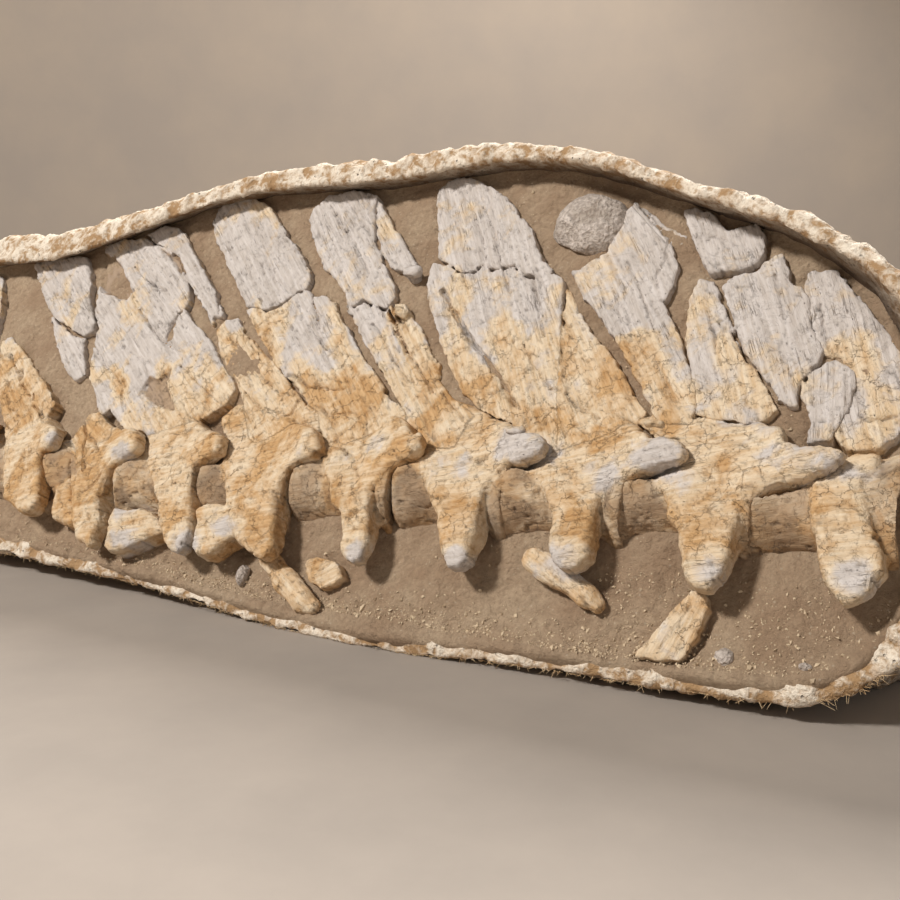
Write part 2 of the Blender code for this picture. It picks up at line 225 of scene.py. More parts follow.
def polygonDistance(u, v, corners):
    # Distance to an outline, negative inside.
    corners = np.asarray(corners, dtype=np.float32)
    nearest = np.full(np.broadcast(u, v).shape, 1e9, dtype=np.float32)
    inside = np.zeros(nearest.shape, dtype=bool)
    for (ax, ay), (bx, by) in zip(corners, np.roll(corners, -1, axis=0)):
        ex, ey = bx - ax, by - ay
        px, py = u - ax, v - ay
        t = clamp01((px * ex + py * ey) / (ex * ex + ey * ey + 1e-9))
        dx, dy = px - ex * t, py - ey * t
        nearest = np.minimum(nearest, dx * dx + dy * dy)
        if ay != by:
            crosses = ((ay <= v) & (by > v)) | ((by <= v) & (ay > v))
            inside ^= crosses & (px < ex * (v - ay) / ey)
    return np.sqrt(nearest) * np.where(inside, -1.0, 1.0)


def lineDistance(u, v, points):
    nearest = np.full(np.broadcast(u, v).shape, 1e9, dtype=np.float32)
    for (ax, ay), (bx, by) in zip(points, points[1:]):
        ex, ey = bx - ax, by - ay
        t = clamp01(((u - ax) * ex + (v - ay) * ey) / (ex * ex + ey * ey + 1e-9))
        nearest = np.minimum(nearest, (u - ax - ex * t) ** 2 + (v - ay - ey * t) ** 2)
    return np.sqrt(nearest)


class Clay:
    # A block of distances in face millimetres that shapes are blended into.

    def __init__(self, low, high, step):
        self.step = step
        self.low = np.array(low, dtype=np.float64)
        counts = [int(math.ceil((b - a) / step)) + 1 for a, b in zip(low, high)]
        self.field = np.full(counts, 30.0, dtype=np.float32)
        self.axes = [(low[k] + step * np.arange(counts[k])).astype(np.float32)
                     for k in range(3)]

    def window(self, low, high):
        cut = []
        for k in range(3):
            a = int(np.searchsorted(self.axes[k], low[k]))
            b = int(np.searchsorted(self.axes[k], high[k]))
            cut.append(slice(a, max(b, a + 1)))
        u = self.axes[0][cut[0]][:, None, None]
        v = self.axes[1][cut[1]][None, :, None]
        w = self.axes[2][cut[2]][None, None, :]
        return tuple(cut), u, v, w

    def blend(self, cut, shape, soften):
        now = self.field[cut]
        if now.size == 0:
            return
        mix = clamp01(0.5 + 0.5 * (now - shape) / soften)
        self.field[cut] = shape * mix + now * (1 - mix) - soften * mix * (1 - mix)

    def limb(self, stations, soften=6.0):
        # Tapering process through stations of u, v, w, half width and half thickness.
        for a, b in zip(stations, stations[1:]):
            a, b = np.array(a, dtype=float), np.array(b, dtype=float)
            reach = max(a[3], b[3]) + soften + 6.0
            low = np.minimum(a[:3], b[:3]) - reach
            high = np.maximum(a[:3], b[:3]) + reach
            cut, u, v, w = self.window(low, high)
            along = b[:3] - a[:3]
            t = (u - a[0]) * along[0] + (v - a[1]) * along[1] + (w - a[2]) * along[2]
            t = clamp01(t / (along @ along))
            wide = a[3] + (b[3] - a[3]) * t
            thick = a[4] + (b[4] - a[4]) * t
            du = u - a[0] - along[0] * t
            dv = v - a[1] - along[1] * t
            dw = (w - a[2] - along[2] * t) * (wide / thick)
            far = np.sqrt(du * du + dv * dv + dw * dw) - wide
            self.blend(cut, far * np.minimum(1.0, thick / wide), soften)

    def spool(self, front, axisV, axisW, profile, soften=5.0):
        # Centrum: a turned shape along u that ends at front.
        along = np.array([p[0] for p in profile], dtype=float)
        radii = np.array([p[1] for p in profile], dtype=float)
        reach = radii.max() + soften + 4.0
        low = (front + along[0] - 8.0, axisV - reach, axisW - reach)
        high = (front + 8.0, axisV + reach, axisW + reach)
        cut, u, v, w = self.window(low, high)
        fromAxis = np.sqrt((v - axisV) ** 2 + (w - axisW) ** 2)
        side = fromAxis - np.interp(u, front + along, radii).astype(np.float32)
        ends = np.abs(u - (front + along[0] / 2.0)) + along[0] / 2.0
        dish = 5.0 * clamp01(1.0 - (fromAxis / radii[-1]) ** 2)
        self.blend(cut, np.maximum(side * 0.96, ends + dish), soften)

    def plate(self, corners, top, bottom=-9.0, soften=1.2, ragged=1.0, tilt=(0.0, 0.0), seed=0):
        # Slab of bone with a broken edge and a slightly uneven top.
        points = np.array(corners, dtype=float)
        low = (*(points.min(axis=0) - 8.0), bottom - 4.0)
        high = (*(points.max(axis=0) + 8.0), top + 8.0)
        cut, u, v, w = self.window(low, high)
        u2, v2 = u[:, :, 0], v[:, :, 0]
        edge = polygonDistance(u2, v2, corners) - 0.7
        edge = edge + ragged * (noise2(u2 / 7.0, v2 / 7.0, seed)
                                + 0.8 * noise2(u2 / 3.0, v2 / 3.0, seed + 3))
        middle = points.mean(axis=0)
        height = top + tilt[0] * (u2 - middle[0]) + tilt[1] * (v2 - middle[1])
        height = height + noise2(u2 / 34.0, v2 / 34.0, seed + 5)
        edge, height = edge[:, :, None], height[:, :, None]
        # the arris is a little worn
        worn = 0.5 * clamp01(1.0 + edge / 1.2) ** 2 + 0.5 * clamp01(1.0 + edge / 6.0) ** 3
        shape = np.maximum(edge, np.maximum(w - height + worn, bottom - w))
        self.blend(cut, shape.astype(np.float32), soften)

    def shield(self, outline, marks, rounding=5.0, soften=4.0, seed=0):
        # Arch, prong and process in one: an outline in the face, with marks of u, v, height
        # of the top and thickness, and round edges.
        line = np.array(outline, dtype=float)
        low = (*(line.min(axis=0) - 8.0), self.low[2])
        high = (*(line.max(axis=0) + 8.0), max(mark[2] for mark in marks) + 8.0)
        cut, u, v, w = self.window(low, high)
        u2, v2 = u[:, :, 0], v[:, :, 0]
        edge = polygonDistance(u2, v2, outline)
        edge = edge + noise2(u2 / 8.0, v2 / 8.0, seed) + 0.5 * noise2(u2 / 3.0, v2 / 3.0, 5)
        top, thick, weight = 0.0, 0.0, 0.0
        for markU, markV, height, depth in marks:
            near = np.exp(-((u2 - markU) ** 2 + (v2 - markV) ** 2) / 900.0) + 1e-7
            top, thick, weight = top + near * height, thick + near * depth, weight + near
        top, thick = top / weight, thick / weight
        within = rounding - np.clip(-edge, 0.0, rounding)
        fall = rounding - np.sqrt(rounding ** 2 - within ** 2 + 1e-6)
        shape = np.maximum(np.maximum(edge[:, :, None], w - (top - fall)[:, :, None]),
                           (top - thick + 0.6 * fall)[:, :, None] - w)
        self.blend(cut, shape.astype(np.float32), soften)

    def carve(self, gap, shapes):
        # Cuts the block back from the bone in front.
        kept = self.field
        self.field = np.full_like(kept, 30.0)
        for outline, marks in shapes:
            self.shield(outline, marks, soften=0.1)
        self.field = np.maximum(kept, gap - self.field)

    def groove(self, points, width, depth, wander=0.8, seed=0):
        # Crack along a line: the surface is drawn in by depth.
        line = np.array(points, dtype=float)
        reach = width + 4.0
        low = (*(line.min(axis=0) - reach), self.axes[2][0])
        high = (*(line.max(axis=0) + reach), self.axes[2][-1] + 1.0)
        cut, u, v, _ = self.window(low, high)
        u2, v2 = u[:, :, 0], v[:, :, 0]
        shiftU = u2 + wander * noise2(u2 / 4.0, v2 / 4.0, seed + 11)
        shiftV = v2 + wander * noise2(u2 / 4.0, v2 / 4.0, seed + 29)
        away = lineDistance(shiftU, shiftV, points)
        wide = width * (1.0 + 0.5 * noise2(u2 / 6.0, v2 / 6.0, seed + 37))
        cutIn = depth * clamp01(1.3 - away / np.maximum(wide * 0.5, 1.1))
        self.field[cut] += np.minimum(cutIn, depth)[:, :, None].astype(np.float32)

    def sink(self, corners, depth, seed=0):
        # Lowers the surface inside an outline, as where sediment still covers it.
        line = np.array(corners, dtype=float)
        low = (*(line.min(axis=0) - 6.0), self.axes[2][0])
        high = (*(line.max(axis=0) + 6.0), self.axes[2][-1] + 1.0)
        cut, u, v, _ = self.window(low, high)
        u2, v2 = u[:, :, 0], v[:, :, 0]
        edge = polygonDistance(u2, v2, corners) + 1.5 * noise2(u2 / 6.0, v2 / 6.0, seed)
        self.field[cut] += (depth * clamp01(0.5 - edge / 2.0))[:, :, None].astype(np.float32)

    def surface(self):
        # Points in face millimetres and the quads between them.
        band = 3.0 * self.step
        grid = openvdb.FloatGrid(band)
        grid.copyFromArray(np.clip(self.field, -band, band))
        points, quads = grid.convertToQuads(isovalue=0.0)
        points = points * self.step + self.low
        return points, quads.astype(np.int64)


def largeParts(points, quads, smallest=250):
    # Keeps the connected surfaces of some size and drops loose scraps.
    label = np.arange(len(points))
    while True:
        least = label[quads].min(axis=1)
        fresh = label.copy()
        for k in range(4):
            np.minimum.at(fresh, quads[:, k], least)
        fresh = fresh[fresh]
        if np.array_equal(fresh, label):
            break
        label = fresh
    names, counts = np.unique(label[quads[:, 0]], return_counts=True)
    keep = np.isin(label[quads[:, 0]], names[counts >= min(smallest, counts.max())])
    quads = quads[keep]
    used = np.unique(quads)
    index = np.full(len(points), -1)
    index[used] = np.arange(len(used))
    return points[used], index[quads]


def vertexNormals(points, faces):
    a, b, c = points[faces[:, 0]], points[faces[:, 1]], points[faces[:, 2]]
    d = points[faces[:, -1]]
    flat = np.cross(c - a, d - b) if faces.shape[1] == 4 else np.cross(b - a, c - a)
    total = np.zeros_like(points)
    for k in range(faces.shape[1]):
        for axis in range(3):
            total[:, axis] += np.bincount(faces[:, k], flat[:, axis], len(points))
    length = np.linalg.norm(total, axis=1, keepdims=True)
    return total / np.maximum(length, 1e-12)


def neighbourMean(values, faces, rounds):
    # Values averaged over the faces round each point, a number of times.
    count = len(values)
    around = np.zeros(count)
    for k in range(faces.shape[1]):
        around += np.bincount(faces[:, k], minlength=count)
    around = np.maximum(around, 1.0)
    for _ in range(rounds):
        middle = values[faces].mean(axis=1)
        total = np.zeros_like(values)
        for k in range(faces.shape[1]):
            if values.ndim == 1:
                total += np.bincount(faces[:, k], middle, count)
            else:
                for axis in range(values.shape[1]):
                    total[:, axis] += np.bincount(faces[:, k], middle[:, axis], count)
        values = total / (around if values.ndim == 1 else around[:, None])
    return values


def addMesh(name, points, faces, material, attributes=None, smooth=True):
    # Mesh object from world points in metres, with named values on its points.
    mesh = bpy.data.meshes.new(name)
    sides = faces.shape[1]
    mesh.vertices.add(len(points))
    mesh.vertices.foreach_set("co", np.asarray(points, dtype=np.float32).ravel())
    mesh.loops.add(faces.size)
    mesh.loops.foreach_set("vertex_index", faces.astype(np.int32).ravel())
    mesh.polygons.add(len(faces))
    mesh.polygons.foreach_set("loop_start", np.arange(0, faces.size, sides, dtype=np.int32))
    mesh.update(calc_edges=True)
    mesh.validate()
    mesh.polygons.foreach_set("use_smooth", np.full(len(mesh.polygons), smooth))
    for label, values in (attributes or {}).items():
        values = np.asarray(values, dtype=np.float32)
        if values.ndim == 1:
            mesh.attributes.new(label, "FLOAT", "POINT").data.foreach_set("value", values)
        else:
            layer = mesh.attributes.new(label, "FLOAT_VECTOR", "POINT")
            layer.data.foreach_set("vector", values.ravel())
    mesh.materials.append(material)
    made = bpy.data.objects.new(name, mesh)
    bpy.context.scene.collection.objects.link(made)
    return made


def carried(piece, node=None):
    # The piece rides with the one body and may stand for a CAD node.
    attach(piece, "root")
    if node:
        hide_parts(node)
    return piece


# Materials

def makeBone():
    # Mineralised bone, bleached and brushed clean: chalky white grey with a fine fibre grain
    # along the spines, cream and iron-stained ochre low down, silt left in pits and cracks, and painted
    # shade in the hollows.
    made, tree, shader = newMaterial("mineralisedBoneMatt", 0.82, 1.55)
    ochre = addNode(tree, "Attribute", attribute_name="ochre").outputs["Fac"]
    soil = addNode(tree, "Attribute", attribute_name="soil").outputs["Fac"]
    hollowShadeAndPores = addNode(tree, "Attribute", attribute_name="hollowShadeAndPores").outputs["Fac"]
    # both in millimetres: place is the point, grain has x along the fibres
    place = addNode(tree, "Attribute", attribute_name="place").outputs["Vector"]
    grain = addNode(tree, "Attribute", attribute_name="grain").outputs["Vector"]
    streak = noise(tree, grain, (0.03, 0.3, 0.25), 5.0, 0.62)
    fine = noise(tree, grain, (0.16, 1.1, 0.8), 3.0, 0.7)
    patch = noise(tree, place, (0.05, 0.05, 0.05), 6.0, 0.62, 0.7)
    spots = noise(tree, place, (0.16, 0.16, 0.16), 4.0, 0.6, 0.4)
    # brown cracks between flakes of about 11 and 5 mm, bent and broken off by noise
    bend = addNode(tree, "TexNoise", {"Vector": place, "Scale": 0.13, "Detail": 4.0,
                                      "Roughness": 0.7}).outputs["Color"]
    bend = addNode(tree, "VectorMath", {0: bend, 1: (0.5, 0.5, 0.5)}, operation="SUBTRACT")
    bend = addNode(tree, "VectorMath", {0: bend.outputs[0], "Scale": 14.0}, operation="SCALE")
    bent = addNode(tree, "VectorMath", {0: place, 1: bend.outputs[0]}).outputs[0]
    crack = cellEdges(tree, bent, 0.075, 0.028)
    crackSmall = cellEdges(tree, bent, 0.19, 0.04)
    crack = math2(tree, "MULTIPLY", crack, ramp(tree, patch, 0.43, 0.61, 0.05, 1.0))
    crackSmall = math2(tree, "MULTIPLY", crackSmall, ramp(tree, spots, 0.52, 0.64))
    crackAll = math2(tree, "MAXIMUM", crack, math2(tree, "MULTIPLY", crackSmall, 0.5))
    crackAll = math2(tree, "MULTIPLY", crackAll, ramp(tree, ochre, 0.1, 0.6, 0.3, 1.0))
    # long fine splits along the fibres of the pale spines, broken off here and there
    split = noise(tree, grain, (0.012, 0.22, 0.2), 3.0, 0.6)
    split = math2(tree, "ABSOLUTE", math2(tree, "SUBTRACT", split, 0.5), 0.0)
    split = ramp(tree, split, 0.0, 0.012, 1.0, 0.0)
    split = math2(tree, "MULTIPLY", split, ramp(tree, patch, 0.48, 0.6))
    split = math2(tree, "MULTIPLY", split, ramp(tree, ochre, 0.15, 0.6, 1.0, 0.0))
    crackAll = math2(tree, "MAXIMUM", crackAll, split)
    # pores, 4 to 6 mm apart and drawn out along the fibres
    porePlace = addNode(tree, "Mapping", {"Vector": grain, "Scale": (0.15, 0.27, 0.2)})
    pores = addNode(tree, "TexVoronoi", {"Vector": porePlace.outputs[0], "Scale": 1.0,
                                         "Randomness": 1.0}).outputs["Distance"]
    pore = ramp(tree, pores, 0.03, 0.1, 1.0, 0.0)
    pore = math2(tree, "MULTIPLY", pore, ramp(tree, spots, 0.44, 0.56))

    wide = noise(tree, place, (0.03, 0.024, 0.03), 3.0, 0.5, 0.5)
    level = math2(tree, "ADD", math2(tree, "MULTIPLY", ochre, 0.62),
                  ramp(tree, patch, 0.25, 0.75, -0.26, 0.26))
    level = math2(tree, "ADD", level, ramp(tree, wide, 0.28, 0.72, -0.34, 0.34))
    level = math2(tree, "ADD", level, ramp(tree, spots, 0.3, 0.7, -0.08, 0.08))
    white = mixColour(tree, ramp(tree, streak, 0.35, 0.65), hexColour("#B9AEA4"),
                      hexColour("#D3CAC3"))
    cream = mixColour(tree, ramp(tree, streak, 0.35, 0.65), hexColour("#CDB08A"),
                      hexColour("#E2CFB3"))
    warm = mixColour(tree, ramp(tree, streak, 0.35, 0.65), hexColour("#B08450"),
                     hexColour("#D2AC7C"))
    colour = mixColour(tree, ramp(tree, level, 0.06, 0.34), white, cream)
    colour = mixColour(tree, ramp(tree, level, 0.46, 0.8), colour, warm)
    colour = mixColour(tree, ramp(tree, fine, 0.3, 0.46, 0.22, 0.0), colour,
                       hexColour("#8A6F56"))
    colour = mixColour(tree, math2(tree, "MULTIPLY", crackAll, 0.5), colour,
                       hexColour("#7A5C3D"))
    colour = mixColour(tree, math2(tree, "MULTIPLY", pore, 0.7), colour,
                       hexColour("#54402E"))
    colour = mixColour(tree, soil, colour, hexColour("#A0866B"))
    # painted shade: near black brown in the hollows of the surface, in pores, cracks and splits
    colour = mixColour(tree, hollowShadeAndPores, colour, hexColour("#33261A"))
    tree.links.new(colour, shader.inputs["Base Color"])

    # flakes of the outer layer stand a little proud of each other
    layer = math2(tree, "MULTIPLY", patch, 9.0)
    step = math2(tree, "FLOOR", layer, 0.0)
    rest = math2(tree, "SUBTRACT", layer, step)
    flakes = math2(tree, "ADD", step, ramp(tree, rest, 0.4, 0.55))
    lift = math2(tree, "MULTIPLY", streak, 0.6)
    lift = math2(tree, "ADD", lift, math2(tree, "MULTIPLY", fine, 0.35))
    lift = math2(tree, "ADD", lift, math2(tree, "MULTIPLY", flakes, 0.16))
    lift = math2(tree, "SUBTRACT", lift, math2(tree, "MULTIPLY", crackAll, 0.5))
    lift = math2(tree, "SUBTRACT", lift, math2(tree, "MULTIPLY", pore, 0.7))
    bump = addNode(tree, "Bump", {"Height": lift, "Strength": 1.0, "Distance": 0.0016})
    tree.links.new(bump.outputs[0], shader.inputs["Normal"])
    return made


def makePlaster():
    # Plaster of Paris over burlap, hand laid and knocked about: flaked cream skin with tan
    # cloth and pits of brown dirt showing through; the inner wall dark brown with soil and painted shade.
    made, tree, shader = newMaterial("plasterOverBurlap", 0.9, 1.52)
    place = addNode(tree, "TexCoord").outputs["Object"]
    soil = addNode(tree, "Attribute", attribute_name="soil").outputs["Fac"]
    big = addNode(tree, "TexNoise", {"Vector": place, "Scale": 55.0, "Detail": 6.0,
                                     "Roughness": 0.65, "Distortion": 0.5}).outputs["Fac"]
    flake = addNode(tree, "TexNoise", {"Vector": place, "Scale": 150.0, "Detail": 5.0,
                                       "Roughness": 0.6}).outputs["Fac"]
    pits = addNode(tree, "TexVoronoi", {"Vector": place, "Scale": 190.0},
                   feature="F1").outputs["Distance"]
    pit = ramp(tree, pits, 0.08, 0.2, 1.0, 0.0)
    pit = math2(tree, "MULTIPLY", pit, ramp(tree, big, 0.5, 0.6))
    tone = math2(tree, "ADD", math2(tree, "MULTIPLY", big, 0.6),
                 math2(tree, "MULTIPLY", flake, 0.4))
    colour = mixColour(tree, ramp(tree, tone, 0.44, 0.54), hexColour("#A98760"),
                       hexColour("#EADCC8"))
    colour = mixColour(tree, ramp(tree, flake, 0.56, 0.7, 0.0, 0.6), colour,
                       hexColour("#A07B52"))
    colour = mixColour(tree, math2(tree, "MULTIPLY", pit, 0.6), colour, hexColour("#5B4632"))
    # inner wall: soil, with painted shade that deepens below the rim
    colour = mixColour(tree, soil, colour, hexColour("#54412F"))
    tree.links.new(colour, shader.inputs["Base Color"])
    lift = math2(tree, "ADD", math2(tree, "MULTIPLY", flake, 1.0),
                 math2(tree, "MULTIPLY", big, 0.8))
    lift = math2(tree, "SUBTRACT", lift, math2(tree, "MULTIPLY", pit, 0.7))
    bump = addNode(tree, "Bump", {"Height": lift, "Strength": 1.0, "Distance": 0.0045})
    tree.links.new(bump.outputs[0], shader.inputs["Normal"])
    return made


def makeSediment():
    # Silty brown matrix, scraped with small tools: matt, finely grained, with pale crumbs.
    made, tree, shader = newMaterial("siltySediment", 0.95, 1.45)
    place = addNode(tree, "TexCoord").outputs["Object"]
    big = addNode(tree, "TexNoise", {"Vector": place, "Scale": 22.0, "Detail": 6.0,
                                     "Roughness": 0.6}).outputs["Fac"]
    grit = addNode(tree, "TexNoise", {"Vector": place, "Scale": 300.0, "Detail": 6.0,
                                      "Roughness": 0.75}).outputs["Fac"]
    speck = addNode(tree, "TexVoronoi", {"Vector": place, "Scale": 160.0}).outputs["Distance"]
    speck = ramp(tree, speck, 0.08, 0.16, 1.0, 0.0)
    clod = addNode(tree, "TexNoise", {"Vector": place, "Scale": 110.0,
                                      "Detail": 4.0}).outputs["Fac"]
    colour = mixColour(tree, ramp(tree, big, 0.38, 0.62), hexColour("#AD9175"),
                       hexColour("#C5AC8F"))
    colour = mixColour(tree, ramp(tree, grit, 0.35, 0.65, 0.0, 0.5), colour,
                       hexColour("#8C745C"))
    colour = mixColour(tree, math2(tree, "MULTIPLY", speck, 0.5), colour,
                       hexColour("#CDBBA2"))
    tree.links.new(colour, shader.inputs["Base Color"])
    lift = math2(tree, "ADD", grit, math2(tree, "MULTIPLY", clod, 1.5))
    bump = addNode(tree, "Bump", {"Height": lift, "Strength": 1.0, "Distance": 0.0036})
    tree.links.new(bump.outputs[0], shader.inputs["Normal"])
    return made


def makeStone():
    # Grey marl concretion: dull, closed surface with darker veins and pits.
    made, tree, shader = newMaterial("marlConcretion", 0.88, 1.5)
    place = addNode(tree, "TexCoord").outputs["Object"]
    big = addNode(tree, "TexNoise", {"Vector": place, "Scale": 60.0, "Detail": 7.0,
                                     "Roughness": 0.65, "Distortion": 0.8}).outputs["Fac"]
    grit = addNode(tree, "TexNoise", {"Vector": place, "Scale": 380.0,
                                      "Detail": 4.0}).outputs["Fac"]
    colour = mixColour(tree, ramp(tree, big, 0.36, 0.64), hexColour("#B0A294"),
                       hexColour("#DACDC2"))
    colour = mixColour(tree, ramp(tree, grit, 0.4, 0.62, 0.45, 0.0), colour,
                       hexColour("#6E6054"))
    tree.links.new(colour, shader.inputs["Base Color"])
    bump = addNode(tree, "Bump", {"Height": math2(tree, "ADD", big, grit), "Strength": 1.0,
                                  "Distance": 0.0035})
    tree.links.new(bump.outputs[0], shader.inputs["Normal"])
    return made


def makeJute():
    # Jute fibres pulled out of the burlap: dry, straw coloured, dull.
    made, tree, shader = newMaterial("juteFibre", 0.9, 1.5)
    place = addNode(tree, "TexCoord").outputs["Object"]
    tone = addNode(tree, "TexNoise", {"Vector": place, "Scale": 130.0}).outputs["Fac"]
    colour = mixColour(tree, ramp(tree, tone, 0.35, 0.65), hexColour("#9C7B54"),
                       hexColour("#D8BE97"))
    tree.links.new(colour, shader.inputs["Base Color"])
    return made


def makeCrumbs():
    # Broken bits of plaster and dry silt: pale and chalky against the matrix.
    made, _, shader = newMaterial("plasterCrumbs", 0.95, 1.45)
    shader.inputs["Base Color"].default_value = hexColour("#CBB698")
    return made


boneMatt = makeBone()
plasterSkin = makePlaster()
silt = makeSediment()
marl = makeStone()
jute = makeJute()
paleCrumbs = makeCrumbs()
print("materials made")


# Floor, backdrop and lights

def mottled(name, colour, second, scale):
    # Painted plaster or screeded floor: almost flat, softly clouded, no gloss.
    made, tree, shader = newMaterial(name, 0.85, 1.45)
    place = addNode(tree, "TexCoord").outputs["Object"]
    cloud = addNode(tree, "TexNoise", {"Vector": place, "Scale": scale, "Detail": 8.0,
                                       "Roughness": 0.62}).outputs["Fac"]
    shade = mixColour(tree, ramp(tree, cloud, 0.35, 0.65), hexColour(colour),
                      hexColour(second))
    tree.links.new(shade, shader.inputs["Base Color"])
    return made


def addStage():
    size = 6.0
    square = np.array([[-size, -size, 0.0], [size, -size, 0.0], [size, size, 0.0],
                       [-size, size, 0.0]])
    floor = addMesh("studioFloor", square, np.array([[0, 1, 2, 3]]),
                    mottled("screedFloor", studio["floorColour"], studio["floorShade"], 7.0))
    away = Vector((viewForward.x, viewForward.y, 0.0)).normalized() * 2.6
    across = viewRight * 6.0
    corners = [away - across, away + across, away + across + Vector((0, 0, 5.0)),
               away - across + Vector((0, 0, 5.0))]
    wall = addMesh("studioWall", np.array([list(c) for c in corners]),
                   np.array([[0, 1, 2, 3]]),
                   mottled("limewashWall", studio["wallColour"], studio["wallShade"], 3.0))


def addLight(name, place, target, power, size, colour=(1.0, 1.0, 1.0)):
    data = bpy.data.lights.new(name, "AREA")
    data.energy = power
    data.size = size
    data.color = colour
    light = bpy.data.objects.new(name, data)
    light.location = place
    toward = Vector(target) - Vector(place)
    light.rotation_mode = "QUATERNION"
    light.rotation_quaternion = toward.to_track_quat("-Z", "Y")
    bpy.context.scene.collection.objects.link(light)


addStage()
# key from the upper left, a light above and behind that throws the jacket's shadow forward
# on to the floor, one on the backdrop, and a weak fill
addLight("key", (-2.1, -4.3, 4.4), (0.0, -0.05, 0.15), studio["keyPower"], 0.8,
         (1.0, 0.975, 0.945))
addLight("top", (-0.1, 1.9, 2.3), (0.0, -0.1, 0.0), studio["topPower"], 0.9,
         (1.0, 0.985, 0.965))
addLight("wall", (-1.0, 0.9, 2.6), (-1.5, 2.4, 0.8), studio["wallPower"], 1.5,
         (1.0, 0.985, 0.97))
addLight("fill", (3.2, -2.6, 1.6), (0.1, 0.0, 0.15), studio["fillPower"], 1.6,
         (1.0, 0.98, 0.97))
world = bpy.data.worlds.new("studioLight")
world.use_nodes = True
world.node_tree.nodes["Background"].inputs["Color"].default_value = hexColour("#F4EEE8")
world.node_tree.nodes["Background"].inputs["Strength"].default_value = studio["worldLevel"]
bpy.context.scene.world = world
bpy.context.scene.view_settings.view_transform = "Standard"
print("studio made")


# The jacket

jacket = {
    # outer edge u, v, height of the edge w, width of the plaster, undercut per millimetre
    "rim": [
        (-318, 50, 20, 25, 0.3), (-298, 128, 23, 27, 0.3), (-235, 186, 26, 30, 0.4),
        (-167, 209, 26, 34, 0.5), (-102, 209, 26, 33, 0.6), (-45, 214, 27, 32, 0.8),
        (30, 229, 29, 27, 0.8), (103, 244, 30, 21, 0.7), (160, 257, 30, 21, 0.5),
        (235, 264, 30, 24, 0.4), (319, 264, 30, 24, 0.4), (400, 269, 31, 21, 0.3),
        (449, 261, 33, 16, 0.3), (502, 247, 36, 14, 0.3), (586, 213, 38, 14, 0.3),
        (657, 185, 38, 13, 0.2), (722, 140, 38, 12, 0.0), (765, 84, 30, 16, 0.0),
        (779, 20, 20, 20, 0.0), (768, -52, 8, 18, 0.0), (738, -96, 2, 15, 0.0),
        (698, -117, 2, 14, 0.0), (611, -124, 2, 13, 0.0), (511, -127, 2, 13, 0.0),
        (430, -133, 2, 13, 0.0), (349, -133, 2, 13, 0.0), (268, -127, 2, 13, 0.0),
        (180, -120, 2, 13, 0.0), (80, -116, 2, 14, 0.0), (-40, -113, 4, 15, 0.0),
        (-150, -112, 7, 17, 0.0), (-252, -98, 11, 19, 0.0), (-308, -34, 15, 22, 0.2),
    ],
    "stations": 1100,  # points round the rim
    "middleLine": (-150.0, 610.0, 62.0),  # u range and v of the jacket's middle line
    # outer profile behind the edge: share of the way to the back, and outset
    "back": [(0.34, 4.0), (0.5, 2.0), (0.72, -12.0), (0.88, -36.0), (0.97, -72.0),
             (1.0, -118.0)],
    # rings of the skin, as shares of the way to the back, and how the last one is closed
    "backRings": [0.3, 0.34, 0.38, 0.42, 0.46, 0.5, 0.54, 0.58, 0.62, 0.66, 0.7, 0.74, 0.78,
                  0.82, 0.86, 0.89, 0.92, 0.945, 0.965, 0.98, 0.99, 1.0],
    "closing": [0.75, 0.5, 0.25, 0.02],
    "lump": 1.3,  # height of the plaster's lumps
}


def rimStations(count):
    # Rim values round the jacket on a smooth curve through the named stations.
    rows = np.array(jacket["rim"], dtype=float)
    place = np.arange(count) / count * len(rows)
    i = place.astype(int)
    f = (place - i)[:, None]
    a, b, c, d = [rows[(i + k - 1) % len(rows)] for k in range(4)]
    value = 2 * b + (c - a) * f + (2 * a - 5 * b + 4 * c - d) * f * f
    value = value + (3 * b - a - 3 * c + d) * f ** 3
    return (value / 2.0).T


def jacketRing(count, depth, outset, inner=False, share=None):
    # Ring of face points round the jacket; share is how far it is to the back.
    u, v, edge, width, under = rimStations(count)
    lowU, highU, middleV = jacket["middleLine"]
    awayU, awayV = u - np.clip(u, lowU, highU), v - middleV
    length = np.hypot(awayU, awayV)
    awayU, awayV = awayU / length, awayV / length
    back = np.zeros(count) + (50.0 if share else depth)
    move = np.full(count, float(outset))
    if inner:
        move += under * np.minimum(back, edge + 6.0) - width
    else:
        move += 0.6 * under * np.minimum(back, 50.0)
    low = clamp01((20.0 - v) / 90.0)
    right = clamp01((u - 715.0) / 40.0)
    move -= np.clip(back, 0.0, 62.0) * np.maximum(0.46 * low, 0.34 * right)
    newU, newV = u + awayU * move, v + awayV * move
    if share:
        whole = face["backY"] - face["shiftY"] - newV * math.sin(face["lean"])
        whole = whole / math.cos(face["lean"]) + edge
        back = np.maximum(back, share * whole)
    return np.stack([newU, newV, edge - back], axis=1)


